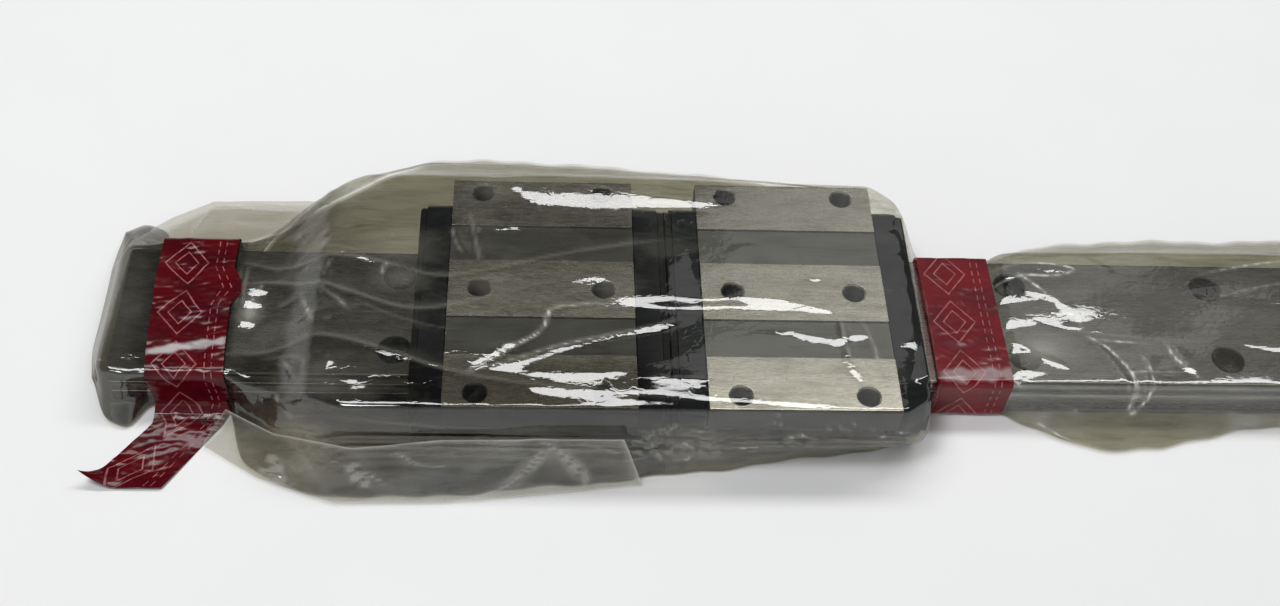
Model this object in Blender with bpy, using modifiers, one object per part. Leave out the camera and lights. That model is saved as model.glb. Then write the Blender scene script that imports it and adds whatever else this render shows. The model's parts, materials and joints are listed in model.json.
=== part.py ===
"""Wide-rail linear guide with two flanged ball carriages, bagged in clear film and banded with tape.

Run with: blender --background --python part.py. Units are metres, +Z is up and X runs along the rail.
The origin is the centre of the rail's base. The sizes are those of a size 21 wide-rail guide.
"""

import math

import bmesh
import bpy
from mathutils import Vector

MM = 0.001
GAP = 0.3 * MM  # between neighbours that touch on the real guide

# Rail
RAIL_LENGTH = 330 * MM
RAIL_WIDTH = 37 * MM
RAIL_HEIGHT = 11 * MM
RAIL_CHAMFER = 0.5 * MM
RAIL_HOLE_PITCH = 50 * MM
RAIL_HOLE_COLUMNS = 7
RAIL_HOLE_ROW_Y = 11 * MM
RAIL_HOLE_RADIUS = 2.25 * MM
COUNTERBORE_RADIUS = 3.75 * MM
COUNTERBORE_DEPTH = 5.3 * MM

# Ball circuits: four loops in each carriage, two on each side
BALL_RADIUS = 1.389 * MM
BALL_PITCH = 3.6 * MM
CAGE_LINK_RADIUS = 0.5 * MM
TRACK_RADIUS = 1.7 * MM
TRACK_OUTSIDE_RAIL = 0.5 * MM  # from the rail's side face out to the loaded balls' centre line
RETURN_OFFSET = 5.3 * MM  # from the loaded balls out to the returning balls
TURN_CENTRE_X = 22.8 * MM
TRACK_HEIGHTS = {"upper": 8.8 * MM, "lower": 5.2 * MM}

# Carriage
CARRIAGE_LENGTH = 59 * MM
CARRIAGE_SPACING = 59.5 * MM
PAIR_CENTRE_X = -36.2 * MM  # where the two carriages meet, from the middle of the rail
TOP_Z = 21 * MM
BLOCK_LENGTH = 43.6 * MM
FLANGE_HALF_WIDTH = 34 * MM
FLANGE_UNDERSIDE_Z = 13 * MM
SKIRT_HALF_WIDTH = 27.5 * MM
BLOCK_BOTTOM_Z = 3 * MM
CHANNEL_HALF_WIDTH = RAIL_WIDTH / 2 + 1 * MM
CHANNEL_ROOF_Z = 11.8 * MM
CENTRE_STRIP_HALF_WIDTH = 8.5 * MM
OUTER_STRIP_START = 19.3 * MM
STRIP_RELIEF = 0.5 * MM
EDGE_CHAMFER = 0.4 * MM
MOUNT_HOLE_RADIUS = 2.5 * MM
MOUNT_HOLE_X = 14.5 * MM
MOUNT_HOLE_ROW_Y = 30 * MM
CENTRE_HOLE_DEPTH = 7 * MM

END_PLATE_THICKNESS = 5.8 * MM
END_PLATE_TOP_Z = 20.3 * MM
END_PLATE_BOTTOM_Z = 1.6 * MM
END_SEAL_THICKNESS = 1.4 * MM
SEAL_LIP_GAP = 0.35 * MM

END_SCREW_PLACES = {  # (Y, Z) of the four screws through each end plate
    "rear_outer": (24 * MM, 15.6 * MM),
    "rear_inner": (10 * MM, 16.3 * MM),
    "front_inner": (-10 * MM, 16.3 * MM),
    "front_outer": (-24 * MM, 15.6 * MM),
}
SCREW_SHANK_RADIUS = 1.0 * MM
SCREW_HEAD_RADIUS = 1.9 * MM
SCREW_HEAD_HEIGHT = 1.1 * MM
SCREW_LENGTH = 11 * MM
SCREW_SOCKET_RADIUS = 0.9 * MM
SCREW_SOCKET_DEPTH = 0.7 * MM
GREASE_PORT_Z = 16 * MM
GREASE_PORT_RADIUS = 2.9 * MM
PLUG_RADIUS = 2.5 * MM
PLUG_LENGTH = 4 * MM

SIDE_SEAL_BOTTOM_Z = 1.7 * MM
SIDE_SEAL_OUTER_Y = 25 * MM

# Packing film and tape
FILM_THICKNESS = 0.3 * MM
FILM_RAIL_HALF_WIDTH = RAIL_WIDTH / 2 + GAP
FILM_RAIL_HEIGHT = RAIL_HEIGHT + GAP
TAPE_THICKNESS = 0.3 * MM
TAPE_WIDTH = 18 * MM
TAPE_LEFT_X = -147.6 * MM
TAPE_RIGHT_X = 36.4 * MM
TAPE_HALF_WIDTH = FILM_RAIL_HALF_WIDTH + FILM_THICKNESS + GAP
TAPE_TOP_Z = FILM_RAIL_HEIGHT + FILM_THICKNESS + GAP
TAPE_BOTTOM_Z = -(FILM_THICKNESS + 2 * GAP)
TAPE_CORNER = 1.2 * MM

# Stations along the bag: (X, height, rear half width, front half width, rear rim Y, front rim Y), in mm.
# The height and half widths are the inside of the arch over the guide, and the rims are its flat fins.
# The arch keeps 2 mm off the carriages, also where they can slide to.
BAG_STATIONS = (
    (-171.5, 2.5, 16.0, 12.0, 34.0, -17.0),
    (-166.5, 11.6, 20.5, 20.5, 38.0, -27.0),
    (-159.0, 11.6, 19.6, 19.6, 30.0, -24.0),
    (-157.0, 11.3, 18.8, 18.8, 18.8, -18.8),
    (-138.2, 11.3, 18.8, 18.8, 18.8, -18.8),
    (-136.0, 12.5, 20.0, 20.0, 31.0, -33.0),
    (-127.0, 20.0, 31.0, 31.0, 44.0, -42.0),
    (-118.0, 22.4, 34.0, 34.0, 46.0, -43.5),
    (-110.0, 23.1, 36.3, 36.2, 53.0, -44.0),
    (-96.0, 23.1, 36.6, 36.2, 61.0, -44.2),
    (-72.0, 23.1, 36.6, 36.2, 61.4, -42.5),
    (-39.0, 23.1, 36.4, 36.2, 59.3, -40.5),
    (-8.0, 23.1, 36.3, 36.2, 55.8, -39.5),
    (16.5, 23.1, 36.2, 36.2, 51.0, -38.5),
    (23.6, 21.6, 32.6, 32.6, 44.0, -34.0),
    (27.0, 11.3, 18.8, 18.8, 18.8, -18.8),
    (45.8, 11.3, 18.8, 18.8, 18.8, -18.8),
    (49.0, 12.5, 20.5, 20.5, 29.0, -22.0),
    (68.0, 13.0, 22.0, 21.0, 34.0, -30.5),
    (93.0, 12.6, 21.5, 20.5, 36.5, -26.5),
    (130.0, 12.6, 21.5, 20.5, 37.0, -23.0),
    (166.5, 12.2, 21.0, 20.5, 36.5, -23.0),
    (177.0, 3.0, 20.0, 18.0, 36.0, -23.0),
)
BAG_SHOULDER = 1.6 * MM
BAG_STEPS_PER_SIDE = 2

NAMES = {-1: "left", 1: "right"}

STEEL = ("ground_steel", (0.56, 0.55, 0.52), 0.32, 1.0)
BEARING_STEEL = ("bearing_steel", (0.62, 0.62, 0.62), 0.15, 1.0)
BLACK_RESIN = ("black_resin", (0.02, 0.03, 0.033), 0.5, 0.0)
SEAL_RUBBER = ("seal_rubber", (0.015, 0.015, 0.015), 0.7, 0.0)
SCREW_STEEL = ("black_screw", (0.05, 0.05, 0.05), 0.4, 1.0)
CLEAR_FILM = ("clear_film", (0.72, 0.70, 0.62), 0.2, 0.0)
RED_TAPE = ("red_tape", (0.42, 0.01, 0.03), 0.35, 0.0)


def clear_scene():
    for obj in list(bpy.data.objects):
        bpy.data.objects.remove(obj)


def new_collection(name):
    collection = bpy.data.collections.new(name)
    bpy.context.scene.collection.children.link(collection)
    return collection


def material(kind):
    name, colour, roughness, metallic = kind
    found = bpy.data.materials.get(name)
    if found:
        return found
    made = bpy.data.materials.new(name)
    made.use_nodes = True
    shader = made.node_tree.nodes["Principled BSDF"]
    shader.inputs["Base Color"].default_value = (*colour, 1.0)
    shader.inputs["Roughness"].default_value = roughness
    shader.inputs["Metallic"].default_value = metallic
    return made


def place(name, data, collection, parent=None, location=(0, 0, 0), rotation=(0, 0, 0)):
    obj = bpy.data.objects.new(name, data)
    collection.objects.link(obj)
    obj.parent = parent
    obj.location = location
    obj.rotation_euler = rotation
    return obj


def finish_part(obj, kind):
    obj.data.materials.clear()
    obj.data.materials.append(material(kind))
    return obj


def mesh_of_curve(obj):
    """Swaps a curve object for a mesh object of the same name and place, with its caps welded."""
    bpy.context.view_layer.update()
    graph = bpy.context.evaluated_depsgraph_get()
    mesh = bpy.data.meshes.new_from_object(obj.evaluated_get(graph))
    shape = bmesh.new()
    shape.from_mesh(mesh)
    bmesh.ops.remove_doubles(shape, verts=shape.verts, dist=0.001 * MM)
    shape.to_mesh(mesh)
    shape.free()
    name, collection, parent = obj.name, obj.users_collection[0], obj.parent
    world = obj.matrix_world.copy()
    bpy.data.objects.remove(obj)
    made = place(name, mesh, collection, parent)
    made.matrix_world = world
    return made


def poly_spline(curve, points, cyclic=True):
    spline = curve.splines.new("POLY")
    spline.points.add(len(points) - 1)
    for point, place_at in zip(spline.points, points):
        point.co = (*place_at, 0, 1) if len(place_at) == 2 else (*place_at, 1)
    spline.use_cyclic_u = cyclic
    return spline


def prism_along_x(name, outlines, length, centre_x, collection, parent=None):
    """A solid of the given (Y, Z) outlines, centred on centre_x. A second outline inside the first is a hole."""
    curve = bpy.data.curves.new(name, "CURVE")
    curve.dimensions = "2D"
    curve.fill_mode = "BOTH"
    curve.extrude = length / 2
    for outline in outlines:
        poly_spline(curve, outline)
    turned = (math.pi / 2, 0, math.pi / 2)
    obj = place(name, curve, collection, parent, (centre_x, 0, 0), turned)
    return mesh_of_curve(obj)


def cylinder(name, radius, length, centre, axis, sides, collection, parent=None):
    """A cylinder about an X or Z axis."""
    shape = bmesh.new()
    bmesh.ops.create_cone(
        shape, cap_ends=True, segments=sides, radius1=radius, radius2=radius, depth=length
    )
    mesh = bpy.data.meshes.new(name)
    shape.to_mesh(mesh)
    shape.free()
    rotation = (0, math.pi / 2, 0) if axis == "X" else (0, 0, 0)
    return place(name, mesh, collection, parent, centre, rotation)


def box(name, low, high, collection, parent=None):
    low, high = Vector(low), Vector(high)
    shape = bmesh.new()
    bmesh.ops.create_cube(shape, size=1.0)
    bmesh.ops.scale(shape, vec=high - low, verts=shape.verts)
    mesh = bpy.data.meshes.new(name)
    shape.to_mesh(mesh)
    shape.free()
    return place(name, mesh, collection, parent, (low + high) / 2)


def cut_with(obj, cutters):
    """Subtracts every object of the cutters collection from obj, and hides them."""
    for cutter in cutters.objects:
        cutter.hide_render = True
        cutter.display_type = "WIRE"
    cut = obj.modifiers.new("cut", "BOOLEAN")
    cut.operation = "DIFFERENCE"
    cut.operand_type = "COLLECTION"
    cut.collection = cutters
    cut.solver = "EXACT"


def bevel_edges(obj, width):
    edge = obj.modifiers.new("edge", "BEVEL")
    edge.width = width
    edge.segments = 1
    edge.limit_method = "ANGLE"
    edge.angle_limit = math.radians(50)


def smooth(obj, angle=35):
    obj.data.shade_smooth()
    obj.data.set_sharp_from_angle(angle=math.radians(angle))


def mirrored(half):
    """A closed outline from its +Y half, listed from the top centre line down and round to the bottom one."""
    return half + [(-y, z) for y, z in reversed(half)]


# Rail


def rail_side(gap):
    """The rail's +Y side from top to bottom, offset outwards by gap, with its two ball tracks as arcs."""
    side_y = RAIL_WIDTH / 2 + gap
    centre_y = RAIL_WIDTH / 2 + TRACK_OUTSIDE_RAIL
    radius = TRACK_RADIUS - gap
    half_arc = math.acos((centre_y - side_y) / radius)
    arc_steps = 5
    points = [
        (side_y - RAIL_CHAMFER, RAIL_HEIGHT + gap),
        (side_y, RAIL_HEIGHT + gap - RAIL_CHAMFER / 2),
    ]
    for centre_z in TRACK_HEIGHTS.values():
        for step in range(arc_steps + 1):
            angle = half_arc * (1 - 2 * step / arc_steps)
            points.append(
                (centre_y - radius * math.cos(angle), centre_z + radius * math.sin(angle))
            )
    return points


def make_rail(parts):
    base = [(RAIL_WIDTH / 2, RAIL_CHAMFER), (RAIL_WIDTH / 2 - RAIL_CHAMFER, 0)]
    outline = mirrored(rail_side(0) + base)
    rail = prism_along_x("rail", [outline], RAIL_LENGTH, 0, parts)
    cutters = new_collection("rail_cutters")
    for column in range(RAIL_HOLE_COLUMNS):
        x = (column - (RAIL_HOLE_COLUMNS - 1) / 2) * RAIL_HOLE_PITCH
        for y in (-RAIL_HOLE_ROW_Y, RAIL_HOLE_ROW_Y):
            bolt_hole = (x, y, RAIL_HEIGHT / 2)
            cylinder("bolt_hole", RAIL_HOLE_RADIUS, 2 * RAIL_HEIGHT, bolt_hole, "Z", 8, cutters)
            head_seat = (x, y, RAIL_HEIGHT)
            seat_length = 2 * COUNTERBORE_DEPTH
            cylinder("head_seat", COUNTERBORE_RADIUS, seat_length, head_seat, "Z", 16, cutters)
    cut_with(rail, cutters)
    finish_part(rail, STEEL)
    smooth(rail, 25)


# Ball circuits


def loop_length():
    return 4 * TURN_CENTRE_X + math.pi * RETURN_OFFSET


def loop_point(distance, side, height):
    """The point at this distance along a ball loop: down the loaded track, round, back and round again."""
    straight = 2 * TURN_CENTRE_X
    turn = math.pi * RETURN_OFFSET / 2
    radius = RETURN_OFFSET / 2
    inner_y = RAIL_WIDTH / 2 + TRACK_OUTSIDE_RAIL
    middle_y = inner_y + radius
    distance %= loop_length()
    if distance < straight:
        x, y = distance - TURN_CENTRE_X, inner_y
    elif distance < straight + turn:
        angle = (distance - straight) / radius
        x, y = TURN_CENTRE_X + radius * math.sin(angle), middle_y - radius * math.cos(angle)
    elif distance < 2 * straight + turn:
        x, y = TURN_CENTRE_X - (distance - straight - turn), inner_y + RETURN_OFFSET
    else:
        angle = (distance - 2 * straight - turn) / radius
        x, y = -TURN_CENTRE_X - radius * math.sin(angle), middle_y + radius * math.cos(angle)
    return Vector((x, side * y, height))


def loop_tube(name, side, height, distances, radii, sides, collection, parent):
    """A closed tube round a ball loop, with a radius for each of its points."""
    curve = bpy.data.curves.new(name, "CURVE")
    curve.dimensions = "3D"
    curve.bevel_depth = 1.0
    curve.bevel_resolution = (sides - 4) // 2
    spline = poly_spline(curve, [loop_point(d, side, height) for d in distances])
    for point, radius in zip(spline.points, radii):
        point.radius = radius
    return mesh_of_curve(place(name, curve, collection, parent))


def make_ball_train(name, side, height, collection, parent):
    """One circuit's balls, held a pitch apart by the links of their resin cage belt."""
    count = round(loop_length() / BALL_PITCH)
    pitch = loop_length() / count
    distances, radii = [], []
    for ball in range(count):
        distances += [ball * pitch, (ball + 0.5) * pitch]
        radii += [CAGE_LINK_RADIUS, BALL_RADIUS]
    train = loop_tube(name, side, height, distances, radii, 4, collection, parent)
    finish_part(train, BEARING_STEEL)


def add_track_cutters(cutters, parent):
    """The loaded tracks, return bores and end turns that the balls run in."""
    straight = 2 * TURN_CENTRE_X
    turn = math.pi * RETURN_OFFSET / 2
    turn_steps = 6
    half = [0] + [straight + turn * step / turn_steps for step in range(turn_steps)]
    distances = half + [straight + turn + distance for distance in half]
    for side in (-1, 1):
        for height in TRACK_HEIGHTS.values():
            radii = [TRACK_RADIUS] * len(distances)
            loop_tube("track", side, height, distances, radii, 8, cutters, parent)


# Carriage


def block_outline():
    flange_y = FLANGE_HALF_WIDTH
    relief_z = TOP_Z - STRIP_RELIEF
    return mirrored(
        [
            (CENTRE_STRIP_HALF_WIDTH, TOP_Z),
            (CENTRE_STRIP_HALF_WIDTH, relief_z),
            (OUTER_STRIP_START, relief_z),
            (OUTER_STRIP_START, TOP_Z),
            (flange_y - EDGE_CHAMFER, TOP_Z),
            (flange_y, TOP_Z - EDGE_CHAMFER),
            (flange_y, FLANGE_UNDERSIDE_Z + EDGE_CHAMFER),
            (flange_y - EDGE_CHAMFER, FLANGE_UNDERSIDE_Z),
            (SKIRT_HALF_WIDTH + 1 * MM, FLANGE_UNDERSIDE_Z),
            (SKIRT_HALF_WIDTH, FLANGE_UNDERSIDE_Z - 1 * MM),
            (SKIRT_HALF_WIDTH, BLOCK_BOTTOM_Z + 1 * MM),
            (SKIRT_HALF_WIDTH - 1 * MM, BLOCK_BOTTOM_Z),
            (CHANNEL_HALF_WIDTH, BLOCK_BOTTOM_Z),
            (CHANNEL_HALF_WIDTH, CHANNEL_ROOF_Z),
        ]
    )


def end_plate_half(inset):
    """The end plate's outer +Y half, top to bottom, drawn in by inset."""
    top, bottom = END_PLATE_TOP_Z - inset, END_PLATE_BOTTOM_Z + inset
    return [
        (25.0 * MM - inset, top),
        (26.0 * MM - inset, top - 0.4 * MM),
        (31.6 * MM - inset, 13.9 * MM - inset),
        (32.0 * MM - inset, 13.0 * MM - inset),
        (32.0 * MM - inset, 9.0 * MM + inset),
        (28.0 * MM - inset, 5.0 * MM + inset),
        (28.0 * MM - inset, bottom),
    ]


def end_plate_outline():
    channel = [
        (CHANNEL_HALF_WIDTH, END_PLATE_BOTTOM_Z),
        (CHANNEL_HALF_WIDTH, CHANNEL_ROOF_Z),
    ]
    return mirrored(end_plate_half(0) + channel)


def end_seal_outline():
    """Inside, the seal's lips follow the rail's tracks at a small running gap."""
    inset = 0.5 * MM
    foot_z = END_PLATE_BOTTOM_Z + inset
    lips = [(RAIL_WIDTH / 2 + SEAL_LIP_GAP, foot_z)] + list(reversed(rail_side(SEAL_LIP_GAP)))
    return mirrored(end_plate_half(inset) + lips)


def make_block(label, parts, root):
    block = prism_along_x(f"{label}_block", [block_outline()], BLOCK_LENGTH, 0, parts, root)
    cutters = new_collection(f"{label}_block_cutters")
    add_track_cutters(cutters, root)
    for x in (-MOUNT_HOLE_X, MOUNT_HOLE_X):
        for y in (-MOUNT_HOLE_ROW_Y, MOUNT_HOLE_ROW_Y):
            through = (x, y, TOP_Z)
            cylinder("mount_hole", MOUNT_HOLE_RADIUS, TOP_Z, through, "Z", 16, cutters, root)
        blind = (x, 0, TOP_Z)
        depth = 2 * CENTRE_HOLE_DEPTH
        cylinder("centre_hole", MOUNT_HOLE_RADIUS, depth, blind, "Z", 16, cutters, root)
    thread_reach = 2 * (SCREW_LENGTH - END_PLATE_THICKNESS)
    for end in (-1, 1):
        for y, z in END_SCREW_PLACES.values():
            middle = (end * BLOCK_LENGTH / 2, y, z)
            radius = SCREW_SHANK_RADIUS + GAP
            cylinder("screw_hole", radius, thread_reach, middle, "X", 8, cutters, root)
    cut_with(block, cutters)
    finish_part(block, STEEL)
    smooth(block, 30)


def end_plate_middle_x(end):
    return end * (BLOCK_LENGTH / 2 + GAP + END_PLATE_THICKNESS / 2)


def end_seal_middle_x(end):
    return end * (CARRIAGE_LENGTH / 2 - END_SEAL_THICKNESS / 2)


def add_screw_cutters(cutters, end, radius, root):
    for y, z in END_SCREW_PLACES.values():
        middle = (end * CARRIAGE_LENGTH / 2, y, z)
        cylinder("screw_way", radius, CARRIAGE_LENGTH / 2, middle, "X", 10, cutters, root)


def make_end_plate(label, end, parts, root):
    name = f"{label}_end_plate_{NAMES[end]}"
    middle_x = end_plate_middle_x(end)
    plate = prism_along_x(name, [end_plate_outline()], END_PLATE_THICKNESS, middle_x, parts, root)
    cutters = new_collection(f"{name}_cutters")
    add_track_cutters(cutters, root)
    add_screw_cutters(cutters, end, SCREW_SHANK_RADIUS + GAP, root)
    port = (middle_x, 0, GREASE_PORT_Z)
    cylinder("grease_port", GREASE_PORT_RADIUS, 10 * MM, port, "X", 16, cutters, root)
    cut_with(plate, cutters)
    finish_part(plate, BLACK_RESIN)


def make_end_seal(label, end, parts, root):
    name = f"{label}_end_seal_{NAMES[end]}"
    middle_x = end_seal_middle_x(end)
    seal = prism_along_x(name, [end_seal_outline()], END_SEAL_THICKNESS, middle_x, parts, root)
    cutters = new_collection(f"{name}_cutters")
    add_screw_cutters(cutters, end, SCREW_HEAD_RADIUS + GAP, root)
    port = (middle_x, 0, GREASE_PORT_Z)
    cylinder("port_window", GREASE_PORT_RADIUS, 6 * MM, port, "X", 16, cutters, root)
    cut_with(seal, cutters)
    finish_part(seal, SEAL_RUBBER)


def turned(name, profile, steps, collection, parent, location, rotation):
    """A closed turned shape: a (radius, height) profile, top to bottom, screwed round its own Z axis."""
    mesh = bpy.data.meshes.new(name)
    mesh.from_pydata([(r, 0, z) for r, z in profile], [(i, i + 1) for i in range(len(profile) - 1)], [])
    obj = place(name, mesh, collection, parent, location, rotation)
    screw = obj.modifiers.new("turn", "SCREW")
    screw.steps = screw.render_steps = steps
    screw.use_merge_vertices = True
    screw.merge_threshold = 0.01 * MM
    return obj


def make_end_screw(name, end, y, z, parts, root):
    """A socket-head screw whose head sits on the end plate, inside the seal's hole."""
    profile = [
        (0, -SCREW_SOCKET_DEPTH),
        (SCREW_SOCKET_RADIUS, -SCREW_SOCKET_DEPTH),
        (SCREW_SOCKET_RADIUS, 0),
        (SCREW_HEAD_RADIUS, 0),
        (SCREW_HEAD_RADIUS, -SCREW_HEAD_HEIGHT),
        (SCREW_SHANK_RADIUS, -SCREW_HEAD_HEIGHT),
        (SCREW_SHANK_RADIUS, -SCREW_LENGTH),
        (0, -SCREW_LENGTH),
    ]
    head_top = end * (CARRIAGE_LENGTH / 2 - 0.1 * MM)
    tilt = (0, end * math.pi / 2, 0)
    finish_part(turned(name, profile, 8, parts, root, (head_top, y, z), tilt), SCREW_STEEL)


def make_grease_plug(name, end, parts, root):
    """The set screw that closes the grease port."""
    profile = [
        (0, -1.5 * MM),
        (1.3 * MM, -1.5 * MM),
        (1.3 * MM, 0),
        (PLUG_RADIUS, 0),
        (PLUG_RADIUS, -PLUG_LENGTH),
        (0, -PLUG_LENGTH),
    ]
    outer_face = end_plate_middle_x(end) + end * END_PLATE_THICKNESS / 2
    tilt = (0, end * math.pi / 2, 0)
    place_at = (outer_face, 0, GREASE_PORT_Z)
    finish_part(turned(name, profile, 12, parts, root, place_at, tilt), SCREW_STEEL)


def make_side_seal(label, side, parts, root):
    where = "rear" if side > 0 else "front"
    inner_y = RAIL_WIDTH / 2 + SEAL_LIP_GAP
    low_y, high_y = sorted((side * inner_y, side * SIDE_SEAL_OUTER_Y))
    half_length = BLOCK_LENGTH / 2 - GAP
    low = (-half_length, low_y, SIDE_SEAL_BOTTOM_Z)
    high = (half_length, high_y, BLOCK_BOTTOM_Z - GAP)
    seal = box(f"{label}_side_seal_{where}", low, high, parts, root)
    bevel_edges(seal, 0.2 * MM)
    finish_part(seal, SEAL_RUBBER)


def make_carriage(which, parts):
    label = f"{NAMES[which]}_carriage"
    root = bpy.data.objects.new(label, None)
    parts.objects.link(root)
    root.location = (PAIR_CENTRE_X + which * CARRIAGE_SPACING / 2, 0, 0)
    make_block(label, parts, root)
    for side, where in ((1, "rear"), (-1, "front")):
        make_side_seal(label, side, parts, root)
        for row, height in TRACK_HEIGHTS.items():
            make_ball_train(f"{label}_balls_{where}_{row}", side, height, parts, root)
    for end in (-1, 1):
        make_end_plate(label, end, parts, root)
        make_end_seal(label, end, parts, root)
        make_grease_plug(f"{label}_grease_plug_{NAMES[end]}", end, parts, root)
        for spot, (y, z) in END_SCREW_PLACES.items():
            make_end_screw(f"{label}_screw_{NAMES[end]}_{spot}", end, y, z, parts, root)


# Packing


def bag_profile(station):
    """One section of the bag's upper web, as eight (Y, Z) corners from the rear rim to the front rim."""
    _, height, rear, front, rear_rim, front_rim = (value * MM for value in station)
    shoulder = min(BAG_SHOULDER, abs(height - RAIL_HEIGHT))
    rear_foot = rear + (rear_rim - rear) * 0.35
    front_foot = front + (-front_rim - front) * 0.35
    foot_z = min(height / 4, 4 * MM)
    return [
        (rear_rim, 0.0),
        (rear_foot, foot_z),
        (rear, height - shoulder),
        (rear - shoulder, height),
        (-front + shoulder, height),
        (-front, height - shoulder),
        (-front_foot, foot_z),
        (front_rim, 0.0),
    ]


def point_along(corners, share):
    """The point this share of the way along a section, with the same number of steps on every side."""
    sides = len(corners) - 1
    side = min(int(share * sides), sides - 1)
    part = share * sides - side
    (y0, z0), (y1, z1) = corners[side], corners[side + 1]
    return y0 + (y1 - y0) * part, z0 + (z1 - z0) * part


def sheet_grid(name, columns, rows, place_vertex, thickness, collection):
    """A rows by columns grid whose vertices go where place_vertex(column, row) says, thickened outwards."""
    shape = bmesh.new()
    bmesh.ops.create_grid(shape, x_segments=columns, y_segments=rows, size=1.0)
    for vertex in shape.verts:
        column = round((vertex.co.x + 1) / 2 * columns)
        row = round((vertex.co.y + 1) / 2 * rows)
        vertex.co = place_vertex(column, row)
    mesh = bpy.data.meshes.new(name)
    shape.to_mesh(mesh)
    shape.free()
    obj = place(name, mesh, collection)
    skin = obj.modifiers.new("skin", "SOLIDIFY")
    skin.thickness = thickness
    skin.offset = 1.0
    skin.use_even_offset = False
    return obj


def make_bag(parts):
    profiles = [bag_profile(station) for station in BAG_STATIONS]
    rows = (len(profiles[0]) - 1) * BAG_STEPS_PER_SIDE

    def upper_vertex(column, row):
        y, z = point_along(profiles[column], 1 - row / rows)
        return Vector((BAG_STATIONS[column][0] * MM, y, z))

    columns = len(BAG_STATIONS) - 1
    upper = sheet_grid("film_upper_web", columns, rows, upper_vertex, FILM_THICKNESS, parts)
    finish_part(upper, CLEAR_FILM)

    def lower_vertex(column, row):
        x, *_, rear_rim, front_rim = BAG_STATIONS[column]
        return Vector((x * MM, (rear_rim if row else front_rim) * MM, -GAP - FILM_THICKNESS))

    lower = sheet_grid("film_lower_web", columns, 1, lower_vertex, FILM_THICKNESS, parts)
    finish_part(lower, CLEAR_FILM)


def rounded_frame(half_width, bottom, top, radius):
    """A rectangle about Y = 0 with arcs at its corners, as (Y, Z) points."""
    steps = 3
    points = []
    for corner, (y_sign, z) in enumerate(((1, top), (-1, top), (-1, bottom), (1, bottom))):
        z_sign = 1 if z == top else -1
        centre = (y_sign * (half_width - radius), z - z_sign * radius)
        for step in range(steps + 1):
            angle = math.pi / 2 * (corner + step / steps)
            points.append(
                (centre[0] + radius * math.cos(angle), centre[1] + radius * math.sin(angle))
            )
    return points


def make_tape_band(name, centre_x, parts):
    inner = rounded_frame(TAPE_HALF_WIDTH, TAPE_BOTTOM_Z, TAPE_TOP_Z, TAPE_CORNER)
    outer = rounded_frame(
        TAPE_HALF_WIDTH + TAPE_THICKNESS,
        TAPE_BOTTOM_Z - TAPE_THICKNESS,
        TAPE_TOP_Z + TAPE_THICKNESS,
        TAPE_CORNER + TAPE_THICKNESS,
    )
    band = prism_along_x(name, [outer, inner], TAPE_WIDTH, centre_x, parts)
    return finish_part(band, RED_TAPE)


def make_tape_tail(parts, helpers, band):
    """The loose end of the left band, which leaves its front side and lies out to the left."""
    columns, rows = 7, 2
    start_y = -(TAPE_HALF_WIDTH + TAPE_THICKNESS / 2)
    reach = 22 * MM
    drift = -11 * MM
    start_z = 5 * MM

    def tail_vertex(column, row):
        along, across = column / columns, row / rows - 0.5
        slope = math.exp(-6 * along)
        curl = max(0.0, along - 0.7) * (0.5 - across) * 12 * MM
        x = TAPE_LEFT_X + drift * along + across * (TAPE_WIDTH - 2 * MM)
        return Vector((x, start_y - reach * along, start_z * slope + 0.3 * MM + curl))

    tail = sheet_grid("tape_tail", columns, rows, tail_vertex, TAPE_THICKNESS, parts)
    bpy.context.view_layer.update()
    parts.objects.unlink(tail)
    helpers.objects.link(tail)
    tail.hide_render = True
    tail.display_type = "WIRE"
    join = band.modifiers.new("tail", "BOOLEAN")
    join.operation = "UNION"
    join.object = tail
    join.solver = "EXACT"


def main():
    clear_scene()
    parts = new_collection("linear_guide")
    helpers = new_collection("helpers")
    make_rail(parts)
    for which in NAMES:
        make_carriage(which, parts)
    make_bag(parts)
    make_tape_band("tape_band_right", TAPE_RIGHT_X, parts)
    left_band = make_tape_band("tape_band_left", TAPE_LEFT_X, parts)
    make_tape_tail(parts, helpers, left_band)


main()
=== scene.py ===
"""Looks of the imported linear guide: ground steel, moulded resin, creased clear film and red tape."""

import json
import math

import bmesh
import bpy
import numpy as np
from mathutils import Matrix, Quaternion, Vector

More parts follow.
